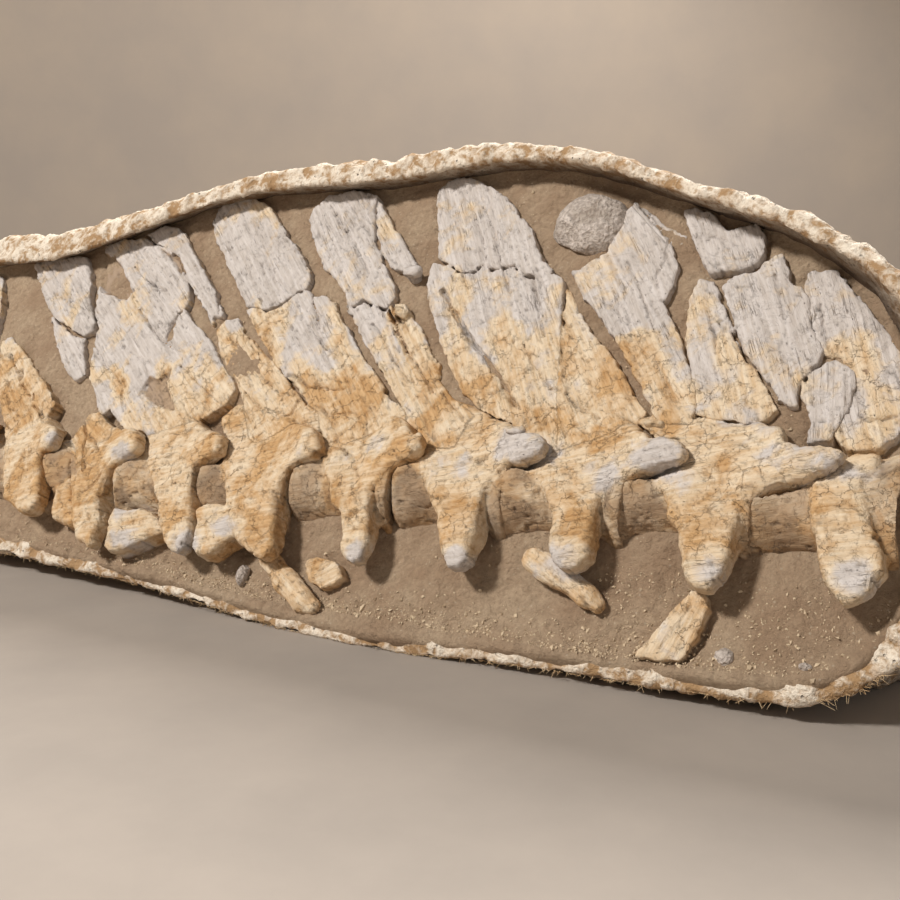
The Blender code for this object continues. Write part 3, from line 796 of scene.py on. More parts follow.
def addJacket():
    count = jacket["stations"] // 1
    coarse = 1
    rings, kinds = [], []  # kind: 0 inner wall, 1 rim, 2 outer skin
    for depth in np.arange(54.0, 3.0, -3.0 * coarse):
        rings.append(jacketRing(count, depth, 0.0, inner=True))
        kinds.append(0)
    innerEdge = jacketRing(count, 1.5, 0.0, inner=True)
    outerEdge = jacketRing(count, 4.0, -0.5)
    across = 10
    for k in range(across + 1):
        t = k / across
        ring = innerEdge * (1 - t) + outerEdge * t
        crown = 4.2 - 2.6 * clamp01(-ring[:, 1] / 60.0)
        ring[:, 2] += crown * (1 - (2 * t - 1) ** 4) - 1.2
        rings.append(ring)
        kinds.append(1)
    for depth in np.arange(7.0, 49.0, 4.0 * coarse):
        rings.append(jacketRing(count, depth, 5.0 * clamp01(depth / 50.0)))
        kinds.append(2)
    profile = [(0.0, 5.0)] + jacket["back"]
    shares = np.array([p[0] for p in profile])
    outsets = np.array([p[1] for p in profile])
    for share in jacket["backRings"]:
        rings.append(jacketRing(count, 0.0, np.interp(share, shares, outsets), share=share))
        kinds.append(2)
    last = rings[-1]
    middle = last.mean(axis=0)
    for shrink in jacket["closing"]:
        rings.append(middle + (last - middle) * shrink)
        kinds.append(2)
    points = np.concatenate(rings)
    kind = np.repeat(kinds, count)
    faces = []
    around = np.arange(count)
    for j in range(len(rings) - 1):
        a = j * count + around
        b = j * count + (around + 1) % count
        faces.append(np.stack([a, b, b + count, a + count], axis=1))
    faces = np.concatenate(faces)
    normals = vertexNormals(points, faces)
    if normals[kind == 1][:, 2].mean() < 0:
        faces = faces[:, ::-1]
        normals = -normals
    lump = jacket["lump"]
    rough = lump * noise3(points, 19.0, 1) + 1.1 * noise3(points, 8.0, 2)
    rough += 0.7 * noise3(points, 3.6, 3)
    # thin coats of plaster, flaked off in steps
    layer = noise3(points, 10.0, 7) * 3.0
    rough += 0.8 * (np.floor(layer) + clamp01((layer - np.floor(layer) - 0.4) / 0.2))
    rough -= 1.8 * clamp01(noise3(points, 5.0, 4) * 2.2 - 1.1)  # knocked-out pits
    inside = kind == 0
    fibre = noise3(points * np.array([0.25, 0.25, 2.2]), 4.0, 6)
    rough = np.where(inside, noise3(points, 14.0, 5) + 1.1 * fibre, rough)
    points = points + normals * rough[:, None]
    world = facePoints(points[:, 0], points[:, 1], points[:, 2])
    # cut off at the solids' box: flat on the floor, and no lump stands past the other sides
    world = np.clip(world, np.array(cadBounds[0]), np.array(cadBounds[1]))
    # the inner wall is painted darker brown the deeper it lies below the rim: soil with painted shade
    shadeBelowRim = clamp01((rimHeightAt(points) - points[:, 2]) / 26.0)
    soil = np.where(inside, 0.35 + 0.6 * shadeBelowRim, 0.0)
    made = addMesh("plasterJacket", world, faces, plasterSkin, {"soil": soil})
    return carried(made, "jacket_shell")


def rimHeightAt(points):
    u, v, edge, _, _ = rimStations(240)
    nearest = np.argmin((points[:, None, 0] - u[None, ::4]) ** 2
                        + (points[:, None, 1] - v[None, ::4]) ** 2, axis=1)
    return edge[::4][nearest]


addJacket()
print("jacket made")


# The sediment

sediment = {
    "step": 1.9,  # spacing of the surface's points
    "corner": (-330.0, -142.0),
    "size": (1125.0, 425.0),
    "intoPlaster": 11.0,  # how far its edge runs into the plaster
    "trench": 2.4,  # depth of the tool marks round the bones
    "rise": 7.5,  # how far the silt stands higher between the spines
}


def groundHeight(u, v):
    # same surface as the CAD's sediment
    height = -4.0 + 2.0 * np.sin(u / 41.0 + 0.7) * np.cos(v / 27.0)
    height = height + 1.3 * np.sin(u / 19.0 - v / 23.0)
    height = height - 5.0 * clamp01((v - 165.0) / 60.0)
    return height + 3.0 * clamp01((-70.0 - v) / 40.0)


# The bones. Each slab is an outline, its height over the sediment, the lie of its fibres in
# degrees, the v below which it is ochre, and how it tilts. Grooves are (width, depth, line).

column = {
    "voxel": 1.2,
    "centrum": [(-91, 36), (-86, 38.5), (-78, 36.5), (-62, 32), (-32, 31), (-14, 34),
                (-5, 39), (0, 38)],
    "centrumDrop": 20.0,
    "centrumDepth": -17.0,
    "slabDrop": 2.6,  # the silt between the slabs comes up to meet them
    "fibre": 14.0,
}

bones = {
    "vertebra_01": dict(tip=(-137, -6), rim=30, root=58, foot=(-158, -70),
        arch=[(-144, 0), (-143, -5), (-146, -9), (-154, -12), (-161, -17), (-166, -22), (-169, -27),
            (-170, -35), (-170, -43), (-168, -50), (-165, -57), (-163, -63), (-160, -73), (-156, -81),
            (-155, -88), (-159, -93), (-166, -93), (-174, -90), (-184, -86), (-194, -81), (-204, -75),
            (-212, -67), (-216, -59), (-222, -51), (-228, -41), (-234, -31), (-240, -19), (-248, -5),
            (-262, 9), (-270, 23), (-256, 37), (-228, 37), (-199, 28), (-176, 19), (-164, 16), (-154, 13),
            (-147, 7)],
        slabs=[
        dict(outline=[(-268, 118), (-256, 132), (-238, 141), (-226, 134), (-214, 112), (-205, 92),
            (-198, 60), (-190, 22), (-215, 18), (-250, 30), (-262, 80)],
            top=11, fibre=118, ochre=60),
    ]),
    "vertebra_02": dict(tip=(-46, -15), rim=34, root=58, foot=(-58, -80),
        arch=[(-53, -9), (-52, -14), (-55, -18), (-63, -21), (-70, -26), (-75, -31), (-78, -36),
            (-79, -44), (-79, -52), (-77, -59), (-74, -66), (-72, -72), (-69, -82), (-65, -90),
            (-64, -97), (-68, -102), (-75, -102), (-83, -99), (-93, -95), (-103, -90), (-113, -84),
            (-121, -76), (-125, -68), (-131, -60), (-137, -50), (-143, -40), (-149, -28), (-157, -14),
            (-171, 0), (-179, 14), (-165, 28), (-137, 28), (-108, 19), (-85, 10), (-73, 7), (-63, 4),
            (-56, -2)],
        slabs=[
        dict(outline=[(-212, 158), (-200, 166), (-180, 173), (-166, 172), (-152, 148), (-138, 120),
            (-120, 70), (-100, 20), (-130, 14), (-158, 30), (-172, 62), (-190, 94)],
            top=11.5, fibre=120, ochre=70),
    ], grooves=[(1.6, 2.5, [(-186, 110), (-170, 116), (-158, 108), (-140, 112)])]),
    "vertebra_03": dict(tip=(49, -14), rim=34, root=56, foot=(53, -80),
        arch=[(41, -6), (40, -14), (36, -19), (27, -22), (30, -30), (37, -42), (44, -54), (50, -66),
            (50, -74), (42, -78), (32, -78), (22, -75), (12, -72), (0, -68), (-10, -58), (-18, -44),
            (-28, -30), (-42, -16), (-60, 0), (-64, 20), (-40, 30), (-10, 20), (12, 9), (26, 5), (36, 1)],
        slabs=[
        dict(outline=[(-119, 95), (-108, 100), (-92, 91), (-78, 84), (-60, 73), (-44, 60), (-28, 50),
            (-12, 40), (0, 30), (-8, 10), (-30, -5), (-60, 10), (-80, 30), (-100, 60)],
            top=12, fibre=142, ochre=120),
    ], grooves=[
        (2.2, 4, [(-95, 80), (-82, 68), (-74, 62)]),
        (4.5, 6, [(-70, 62), (-66, 58), (-65, 55)]),
        (2.2, 4, [(-60, 48), (-48, 42), (-40, 36)]),
        (3.2, 5, [(-38, 40), (-34, 34)]),
        (1.6, 3, [(-30, 28), (-14, 20), (2, 8)]),
        (1.4, 2, [(-72, 34), (-56, 22), (-40, 14)]),
    ]),
    "vertebra_04": dict(tip=(151, -13), rim=34, root=56, foot=(137, -101),
        arch=[(144, -8), (144, -14), (138, -17), (130, -21), (124, -26), (119, -31), (117, -38),
            (116, -45), (118, -55), (122, -62), (128, -70), (134, -76), (133, -82), (134, -90),
            (137, -96), (133, -100), (126, -98), (118, -96), (110, -92), (103, -86), (99, -80), (95, -72),
            (90, -62), (84, -52), (78, -42), (72, -32), (62, -20), (50, -8), (46, 6), (60, 16), (85, 14),
            (105, 9), (116, 9), (125, 9), (133, 5), (139, 0)],
        slabs=[
        dict(outline=[(44, 8), (50, 22), (60, 25), (74, 18), (86, 12), (100, -8), (72, -24), (38, -8)],
            top=12, fibre=150, ochre=120),
    ], lumps=[
        ([(52, -50), (60, -44), (68, -38), (80, -38), (88, -50), (95, -65), (101, -77), (92, -82),
            (76, -81), (62, -79), (54, -70)], [(72, -55, 15, 40), (84, -74, 15, 30)]),
    ], grooves=[
        (2.4, 4, [(34, 30), (42, 22), (50, 12), (62, -4), (74, -20), (84, -34)]),
        (1.5, 2.2, [(62, 2), (76, -4), (92, -14)]),
        (1.6, 3, [(56, -24), (64, -38), (74, -52), (82, -64)]),
        (1.4, 2, [(100, -52), (110, -40), (116, -22)]),
    ]),
    "vertebra_05": dict(tip=(244, -7), rim=32, root=54, foot=(236, -95),
        arch=[(237, -5), (236, -10), (230, -13), (222, -16), (215, -20), (213, -25), (214, -32),
            (217, -42), (221, -50), (224, -56), (228, -62), (232, -72), (235, -80), (234, -88),
            (230, -94), (222, -92), (214, -88), (206, -83), (202, -78), (196, -70), (190, -62),
            (184, -54), (176, -46), (168, -36), (158, -26), (150, -16), (140, -4), (128, 8), (112, 22),
            (118, 36), (150, 36), (180, 27), (205, 14), (220, 11), (229, 8), (234, 3)],
        slabs=[
        dict(outline=[(-24, 203), (0, 208), (26, 210), (40, 203), (62, 196), (84, 186), (98, 168),
            (104, 163), (112, 152), (118, 141), (117, 131), (132, 118), (150, 107), (166, 96), (180, 82),
            (196, 70), (212, 55), (206, 40), (188, 28), (168, 20), (140, 10), (118, 6), (100, 12),
            (84, 22), (74, 30), (62, 22), (54, 34), (42, 48), (30, 60), (24, 76), (18, 96), (14, 112),
            (1, 130), (-6, 150), (-14, 172), (-22, 190)],
            top=11.5, fibre=142, ochre=52),
    ], lumps=[
        ([(134, -60), (150, -62), (165, -60), (178, -60), (190, -66), (202, -77), (190, -82), (179, -88),
            (170, -93), (160, -99), (152, -101), (145, -96), (141, -88), (137, -80)],
            [(160, -66, 17, 40), (160, -90, 24, 24)]),
    ], grooves=[
        (1.8, 2.6, [(60, 130), (80, 115), (100, 100), (117, 93)]),
        (6.5, 9, [(109, 116), (110, 110), (111, 104)]),
        (2.4, 4, [(109, 118), (112, 124), (115, 129)]),
        (3.0, 5, [(41, 150), (43, 150)]), (3.0, 4, [(28, 142), (29, 143)]),
        (1.4, 2.0, [(20, 92), (48, 70), (78, 52), (84, 38), (92, 28)]),
        (1.3, 1.6, [(70, 86), (92, 78), (106, 62)]),
        (1.3, 1.8, [(104, 44), (124, 36), (148, 32)]),
        (1.6, 2.4, [(30, 178), (46, 166), (66, 156), (84, 150)]),
        (1.4, 2.0, [(140, 74), (160, 62), (186, 48), (206, 38)]),
    ], sunk=[
        (4.5, [(-25, 195), (-18, 165), (0, 150), (38, 141), (40, 152), (20, 170), (-5, 190)]),
        (3.0, [(108, 62), (120, 61), (130, 71), (129, 58), (145, 42), (152, 32), (128, 36),
               (104, 46)]),
        (3.0, [(56, 196), (84, 178), (96, 166), (90, 184)]),
    ]),
    "vertebra_06": dict(tip=(337, -1), rim=32, root=54, foot=(323, -89),
        arch=[(330, 5), (331, 0), (328, -4), (320, -7), (313, -12), (308, -17), (305, -22), (304, -30),
            (304, -38), (306, -45), (309, -52), (311, -58), (314, -68), (318, -76), (319, -83),
            (315, -88), (308, -88), (300, -85), (290, -81), (280, -76), (270, -70), (262, -62),
            (258, -54), (252, -46), (246, -36), (240, -26), (234, -14), (226, 0), (212, 14), (204, 28),
            (218, 42), (246, 42), (275, 33), (298, 24), (310, 21), (320, 18), (327, 12)],
        slabs=[
        dict(outline=[(30, 214), (46, 221), (66, 220), (84, 207), (100, 191), (112, 179), (126, 167),
            (142, 153), (155, 138), (165, 126), (166, 120), (158, 117), (146, 128), (130, 141),
            (118, 151), (106, 161), (100, 171), (84, 187), (62, 198), (42, 205)],
            top=12, fibre=140, ochre=0),
        dict(outline=[(164, 111), (170, 120), (182, 123), (200, 107), (222, 92), (240, 81), (256, 70),
            (272, 57), (284, 48), (292, 42), (300, 15), (262, 6), (248, 12), (230, 36), (216, 54),
            (198, 72), (180, 86), (170, 100)],
            top=10, fibre=140, ochre=150),
    ], lumps=[
        ([(228, -56), (234, -66), (237, -78), (239, -88), (247, -93), (256, -91), (264, -86), (270, -79),
            (274, -72), (270, -62), (262, -52), (248, -48), (236, -48)],
         [(250, -60, 19, 30), (252, -86, 28, 18)]),
    ], grooves=[
        (5.0, 7, [(158, 121), (163, 120)]),
        (1.6, 2.6, [(150, 145), (156, 136), (162, 126)]),
        (1.5, 2.2, [(222, 54), (236, 44), (252, 36), (266, 34)]),
        (1.3, 1.8, [(184, 104), (206, 88), (230, 70), (250, 58)]),
        (1.4, 2.2, [(268, 30), (278, 36), (282, 48)]),
    ]),
    "vertebra_07": dict(tip=(426, 7), rim=28, root=61, foot=(398, -81),
        arch=[(421, 14), (421, 8), (418, 4), (414, 0), (408, -3), (402, -6), (397, -10), (393, -16),
            (390, -22), (389, -28), (390, -35), (392, -42), (395, -52), (399, -62), (400, -70),
            (398, -78), (393, -81), (386, -79), (380, -74), (376, -68), (372, -60), (370, -52),
            (366, -46), (362, -42), (355, -38), (350, -32), (345, -24), (340, -16), (334, -8), (322, 2),
            (303, 16), (285, 30), (284, 44), (300, 54), (330, 52), (360, 44), (385, 36), (398, 28),
            (410, 20), (417, 19)],
        slabs=[
        dict(outline=[(113, 236), (120, 246), (134, 248), (152, 245), (166, 240), (180, 232), (196, 214),
            (210, 201), (222, 190), (236, 178), (246, 166), (250, 155), (249, 151), (241, 149),
            (233, 142), (226, 136), (214, 131), (200, 134), (190, 134), (176, 148), (160, 166),
            (146, 180), (130, 197), (118, 210), (110, 223)],
            top=12.5, fibre=134, ochre=-40, tilt=(0.0, 0.01)),
        dict(outline=[(190, 131), (200, 131), (214, 127), (226, 132), (234, 138), (242, 146), (250, 149),
            (258, 144), (275, 141), (282, 136), (300, 118), (320, 98), (342, 77), (354, 66), (366, 54),
            (386, 42), (372, 8), (320, 10), (305, 40), (292, 46), (276, 58), (256, 71), (236, 88),
            (215, 107), (200, 121)], top=11, fibre=134, ochre=84),
    ], grooves=[
        (1.7, 3, [(258, 143), (264, 134), (270, 124), (278, 112)]),
        (1.3, 1.8, [(264, 116), (280, 104), (292, 94)]),
        (1.6, 2.4, [(262, 70), (276, 66), (286, 60), (298, 60), (310, 58), (322, 60)]),
        (1.3, 1.6, [(300, 100), (306, 84), (320, 72), (330, 56)]),
        (1.3, 1.8, [(300, 44), (318, 36), (340, 40), (356, 30)]),
        (1.2, 1.4, [(166, 206), (190, 184), (214, 158), (232, 146)]),
        (1.3, 1.8, [(330, 20), (342, 8), (360, -2), (372, -16)]),
    ]),
    "vertebra_08": dict(tip=(522, 13), rim=32, root=65, foot=(476, -77),
        arch=[(517, 17), (516, 11), (511, 6), (500, 3), (491, 1), (486, -4), (481, -10), (478, -20),
            (478, -32), (479, -45), (480, -55), (481, -68), (476, -74), (468, -75), (461, -68),
            (455, -58), (452, -48), (448, -40), (441, -33), (434, -24), (428, -16), (422, -8), (411, 0),
            (395, 14), (378, 30), (372, 46), (390, 56), (415, 58), (445, 50), (470, 40), (486, 30),
            (490, 26), (505, 27), (512, 24)],
        slabs=[
        dict(outline=[(226, 219), (229, 232), (238, 243), (262, 247), (280, 244), (291, 240), (294, 222),
            (299, 206), (303, 196), (314, 181), (328, 164), (338, 152), (343, 141), (338, 132),
            (325, 135), (312, 139), (307, 134), (300, 134), (292, 146), (280, 157), (264, 168),
            (252, 181), (240, 198)],
            top=12.5, fibre=130, ochre=60),
        dict(outline=[(292, 239), (302, 226), (318, 208), (334, 192), (346, 177), (357, 166), (359, 159),
            (350, 157), (344, 166), (336, 168), (326, 172), (314, 186), (306, 198), (300, 212)],
            top=10.5, fibre=130, ochre=30),
        dict(outline=[(301, 131), (308, 131), (314, 136), (326, 132), (334, 128), (342, 128), (350, 112),
            (364, 96), (378, 82), (396, 64), (418, 50), (440, 44), (440, 15), (400, 18), (388, 42),
            (366, 62), (345, 84), (322, 106)],
            top=11, fibre=130, ochre=92),
        dict(outline=[(344, 134), (356, 133), (364, 124), (376, 112), (388, 98), (402, 84), (404, 70),
            (420, 56), (444, 42), (436, 30), (414, 46), (396, 62), (378, 82), (364, 98), (352, 112),
            (346, 124)], top=10, fibre=130,
             ochre=140),
    ], grooves=[
        (1.6, 3, [(346, 133), (350, 124), (358, 118)]),
        (1.8, 3, [(344, 128), (356, 110), (370, 94), (388, 76), (404, 60)]),
        (1.4, 2, [(330, 118), (346, 102), (362, 84), (380, 68)]),
        (1.2, 1.5, [(246, 232), (270, 208), (292, 184), (310, 164)]),
        (1.3, 1.6, [(262, 236), (284, 214), (298, 200)]),
        (1.4, 2, [(412, 60), (424, 50), (438, 38)]),
        (1.3, 1.8, [(430, 30), (446, 34), (460, 26), (474, 30)]),
    ], knobs=[(355, 162, 12, 7, 5, 5), (352, 126, 10, 6, 8, 4)]),
    "vertebra_09": dict(tip=(615, 16), rim=40, root=75, foot=(555, -69),
        arch=[(612, 20), (611, 15), (606, 11), (598, 8), (590, 6), (582, 3), (575, -1), (570, -2),
            (565, -6), (562, -12), (560, -22), (561, -35), (562, -45), (563, -55), (561, -62), (555, -66),
            (549, -66), (542, -61), (537, -53), (535, -45), (533, -36), (530, -30), (526, -22),
            (520, -14), (514, -6), (503, 2), (488, 14), (470, 30), (462, 46), (480, 58), (510, 60),
            (540, 55), (565, 46), (578, 36), (584, 29), (600, 29), (608, 26)],
        slabs=[
        dict(outline=[(354, 238), (360, 249), (372, 251), (390, 246), (402, 240), (418, 230), (432, 216),
            (444, 204), (456, 186), (466, 171), (476, 162), (468, 158), (458, 159), (450, 162),
            (442, 168), (432, 167), (424, 165), (418, 172), (410, 165), (398, 164), (385, 172),
            (372, 177), (369, 188), (364, 202), (358, 220)], top=12, fibre=119, ochre=-40),
        dict(outline=[(368, 173), (384, 169), (397, 161), (410, 161), (418, 168), (424, 162), (432, 164),
            (442, 165), (450, 159), (460, 156), (470, 157), (478, 160), (485, 155), (489, 145),
            (491, 130), (495, 112), (499, 96), (502, 86), (512, 64), (525, 45), (520, 15), (470, 12),
            (452, 44), (443, 52), (428, 64), (414, 80), (402, 96), (390, 113), (379, 132), (370, 150)],
            top=11.5, fibre=119, ochre=92),
        dict(outline=[(491, 148), (498, 139), (508, 124), (522, 108), (536, 96), (548, 82), (560, 66),
            (572, 52), (560, 22), (520, 20), (508, 60), (502, 92), (496, 116)],
            top=9.5, fibre=124, ochre=170),
    ], grooves=[
        (3.6, 5, [(386, 147), (398, 132), (410, 118), (424, 104), (440, 90), (455, 76),
                  (468, 62), (476, 52)]),
        (1.4, 2, [(400, 222), (412, 206), (420, 192), (428, 178), (434, 164), (439, 154),
                  (446, 144)]),
        (1.4, 2.2, [(462, 156), (470, 140), (477, 122), (483, 108)]),
        (1.3, 1.8, [(390, 160), (396, 154), (400, 160)]),
        (1.4, 2, [(470, 100), (480, 86), (492, 74), (500, 66)]),
        (1.4, 2, [(452, 60), (464, 64), (472, 54), (482, 50)]),
        (1.5, 2.2, [(500, 66), (512, 64), (520, 56), (530, 50), (542, 46)]),
        (1.2, 1.5, [(376, 238), (396, 214), (410, 190), (418, 172)]),
        (1.3, 1.8, [(524, 40), (538, 44), (552, 38), (562, 30)]),
    ], knobs=[(490, 27, 22, 9, 3, 4)]),
    "vertebra_10": dict(tip=(708, 21), rim=52, root=80, foot=(641, -69),
        arch=[(707, 24), (704, 19), (698, 14), (690, 10), (680, 7), (672, 4), (665, 0), (660, -3),
            (655, -8), (652, -14), (651, -22), (650, -32), (650, -42), (649, -52), (646, -62), (642, -67),
            (636, -66), (630, -62), (624, -55), (621, -48), (619, -42), (617, -32), (611, -25),
            (604, -16), (599, -8), (592, 4), (578, 22), (566, 38), (568, 50), (590, 56), (620, 50),
            (650, 48), (664, 44), (668, 34), (680, 29), (690, 30), (700, 28)],
        slabs=[
        dict(outline=[(514, 176), (505, 169), (497, 162), (492, 162), (497, 152), (506, 141), (520, 127),
            (536, 109), (550, 93), (562, 77), (575, 57), (584, 46), (604, 46), (606, 60), (599, 80),
            (591, 96), (584, 110), (574, 124), (568, 136), (571, 150), (572, 162), (566, 176), (560, 186),
            (552, 197), (540, 208), (528, 218), (523, 210), (521, 196), (518, 184)],
            top=11.5, fibre=123, ochre=96),
        dict(outline=[(528, 216), (538, 214), (550, 202), (562, 194), (572, 190), (570, 183), (560, 184),
            (548, 196)], top=8, fibre=128, ochre=60),
    ], grooves=[
        (1.6, 2.4, [(536, 212), (546, 200), (558, 190), (570, 187)]),
        (1.3, 1.8, [(560, 186), (562, 170), (558, 156), (562, 146)]),
        (1.3, 1.6, [(534, 168), (548, 146), (560, 124), (574, 100)]),
        (1.2, 1.4, [(516, 150), (530, 132), (546, 116)]),
        (1.3, 1.8, [(572, 90), (582, 74), (592, 60)]),
        (1.4, 2, [(606, 50), (620, 46), (636, 45), (648, 50), (658, 60)]),
        (1.3, 1.8, [(612, 34), (622, 30), (636, 34), (648, 28)]),
    ], knobs=[(588, 37, 24, 9, 3, 4)]),
    "vertebra_11": dict(tip=None, at=(792, 24), rim=54, root=80, foot=(718, -64),
        arch=[(716, 8), (722, -6), (728, -18), (733, -30), (735, -42), (731, -54), (725, -61), (718, -65),
            (712, -61), (706, -51), (701, -40), (697, -30), (693, -20), (690, -8), (688, 4), (686, 14),
            (694, 26), (708, 32), (722, 30), (722, 18)],
        slabs=[
        dict(outline=[(567, 209), (575, 211), (590, 203), (602, 190), (611, 193), (620, 194), (629, 185),
            (630, 173), (627, 164), (618, 160), (605, 158), (597, 157), (590, 166), (577, 190)],
            top=12.5, fibre=116, ochre=-20),
        dict(outline=[(607, 147), (610, 152), (615, 154), (621, 157), (628, 158), (632, 165), (638, 169),
            (642, 172), (646, 163), (650, 152), (655, 146), (659, 146), (663, 138), (668, 123),
            (670, 116), (675, 106), (679, 99), (678, 93), (673, 85), (668, 78), (667, 70), (669, 62),
            (664, 62), (656, 67), (650, 75), (640, 86), (629, 97), (622, 109), (616, 123), (610, 137)],
            top=12, fibre=114, ochre=-60),
        dict(outline=[(590, 152), (599, 150), (604, 142), (611, 127), (618, 112), (626, 98), (638, 86),
            (649, 73), (652, 66), (657, 59), (653, 53), (644, 48), (636, 46), (622, 48), (608, 52),
            (602, 60), (600, 76), (592, 98), (587, 118), (586, 136)], top=10.5, fibre=112, ochre=100),
        dict(outline=[(681, 91), (689, 93), (698, 86), (701, 76), (699, 62), (695, 50), (692, 40),
            (680, 38), (680, 50), (676, 60), (670, 68), (670, 77), (675, 84)],
            top=11.5, fibre=100, ochre=-20),
    ], grooves=[
        (1.8, 3.4, [(604, 149), (610, 136), (618, 121), (630, 97), (644, 81), (656, 66)]),
        (1.4, 2, [(600, 128), (608, 112), (612, 96)]),
        (1.3, 1.8, [(640, 154), (646, 140), (652, 122)]),
        (1.3, 1.8, [(668, 84), (676, 74), (680, 62)]),
        (1.3, 1.6, [(590, 186), (600, 184), (612, 178)]),
    ]),
}

looseSlabs = {
    "spine_plate": dict(slabs=[
        dict(outline=[(-121, 184), (-108, 187), (-84, 190), (-62, 191), (-46, 190), (-35, 178),
            (-23, 160), (-13, 140), (-4, 128), (7, 116), (9, 108), (2, 103), (-8, 104), (-20, 108),
            (-34, 115), (-48, 120), (-60, 126), (-76, 139), (-90, 152), (-108, 170)],
            top=12, fibre=142, ochre=0),
        dict(outline=[(-58, 122), (-47, 116), (-34, 111), (-20, 104), (-8, 100), (1, 99), (4, 88),
            (13, 75), (20, 63), (12, 57), (0, 61), (-18, 75), (-42, 100)],
            top=10.5, fibre=142, ochre=-20),
    ], grooves=[(1.4, 1.8, [(-44, 138), (-40, 130), (-28, 120)]),
                (1.3, 1.6, [(-92, 178), (-66, 158), (-40, 142), (-16, 130)])]),
    "spine_fragment": dict(slabs=[
        dict(outline=[(661, 156), (666, 158), (678, 158), (682, 151), (690, 144), (700, 131), (710, 120),
            (718, 109), (724, 101), (727, 86), (729, 70), (730, 46), (718, 36), (702, 35), (694, 44),
            (692, 60), (694, 74), (696, 86), (688, 94), (681, 97), (678, 101), (674, 108), (670, 118),
            (665, 130), (660, 144)], top=10.5, fibre=110, ochre=76),
    ], grooves=[(1.5, 2.2, [(672, 134), (676, 118), (684, 98), (690, 94), (694, 80)]),
                (1.4, 2, [(690, 84), (700, 78), (706, 66)]),
                (1.5, 2.4, [(706, 58), (714, 54), (722, 56), (727, 58)])]),
    "bone_flat": dict(slabs=[
        dict(outline=[(601, -106), (606, -98), (612, -88), (618, -76), (627, -63), (634, -62), (637, -72),
            (636, -84), (632, -98), (627, -106), (614, -107)],
            top=8.5, fibre=72, ochre=150),
    ], grooves=[(1.3, 1.6, [(616, -100), (622, -86), (628, -72)])]),
    "bone_block": dict(slabs=[
        dict(outline=[(338, -80), (346, -76), (356, -77), (367, -78), (373, -88), (368, -94), (358, -98),
            (344, -93)], top=9.5, fibre=30, ochre=150),
    ]),
}

ribs = {
    "rib_piece_1": dict(line=[(300, -82, 3, 8, 6), (322, -96, 3, 9, 7), (344, -108, 3, 8, 6),
                              (354, -111, 3, 5, 4)], fibre=-30, ochre=150),
    "rib_piece_2": dict(line=[(518, -56, 3, 9, 7), (540, -64, 3, 10, 8),
                              (560, -75, 3, 8, 7), (568, -79, 2, 5, 5)], fibre=-32,
                        ochre=150),
}

# places where the bone stays white although it lies low: u, v, half width, half height
palePlaces = [
    (232, -84, 22, 22), (168, -90, 26, 16), (396, -74, 22, 18), (474, -72, 20, 14),
    (500, 16, 34, 18), (548, -58, 24, 16), (596, 20, 36, 20), (640, -54, 22, 18),
    (690, 22, 40, 18), (40, -10, 20, 12), (120, -14, 24, 14), (440, 0, 26, 22),
    (610, 4, 26, 20), (700, 60, 12, 30), (560, 2, 20, 18), (150, -60, 20, 16),
    (268, -66, 22, 12), (680, 50, 12, 26), (722, -50, 18, 18), (380, 10, 16, 14),
]


def archOf(size):
    # the arch's outline and the marks that give its height and thickness
    (p, q), (footU, footV) = size.get("tip") or size["at"], size["foot"]
    rootU, rootV = p - size["root"], q - 22.0
    marks = [(p - 62, q - 8, 19, 40), (p - 86, q + 36, 7.5, 40), (p - 56, q + 34, 8.5, 40),
             (footU, footV, 28.5, 13), ((footU + rootU) / 2, (footV + rootV) / 2, 23.5, 24)]
    if size.get("tip"):
        marks += [(p, q, 31, 11), (p - 24, q + 2, 27, 15)]
    return size["arch"], marks


def shapeBone(size, previous=None):
    # a block of clay round everything in the bone, then the shapes one by one
    step = column["voxel"] * 1.0
    slabs = size.get("slabs", [])
    shapes = ([archOf(size)] if "arch" in size else []) + size.get("lumps", [])
    spots = [point for slab in slabs for point in slab["outline"]]
    spots += [point for outline, _ in shapes for point in outline]
    spots += [(u + side, v + side) for u, v, _, wide, _ in size.get("line", [])
              for side in (-wide, wide)]
    spots = np.array(spots, dtype=float)
    low, high = [*(spots.min(axis=0) - 7.0), -10.0], [*(spots.max(axis=0) + 7.0), 17.0]
    if shapes:
        p, q = size.get("tip") or size["at"]
        low[0] = min(low[0], p - size["rim"] - 96.0)
        high[2] = 36.0
    clay = Clay(low, high, step)
    if shapes:
        clay.spool(p - size["rim"], q - column["centrumDrop"], column["centrumDepth"],
                   column["centrum"])
    for i, (outline, marks) in enumerate(shapes):
        clay.shield(outline, marks, seed=i + len(spots))
    if "line" in size:
        clay.limb(size["line"], 3.0)
    for i, slab in enumerate(slabs):
        clay.plate(slab["outline"], slab["top"] - column["slabDrop"],
                   tilt=slab.get("tilt", (0, 0)), seed=i + len(spots))
    for u, v, w, wide, tall, thick in size.get("knobs", []):
        clay.limb([(u - wide * 0.5, v, w, tall, thick), (u + wide * 0.5, v, w, tall, thick)],
                  1.5)
    if previous:
        clay.carve(1.4, [archOf(previous)])
    for i, (width, depth, line) in enumerate(size.get("grooves", [])):
        clay.groove(line, width, depth, seed=i)
    for i, (depth, outline) in enumerate(size.get("sunk", [])):
        clay.sink(outline, depth, seed=i)
    return largeParts(*clay.surface())


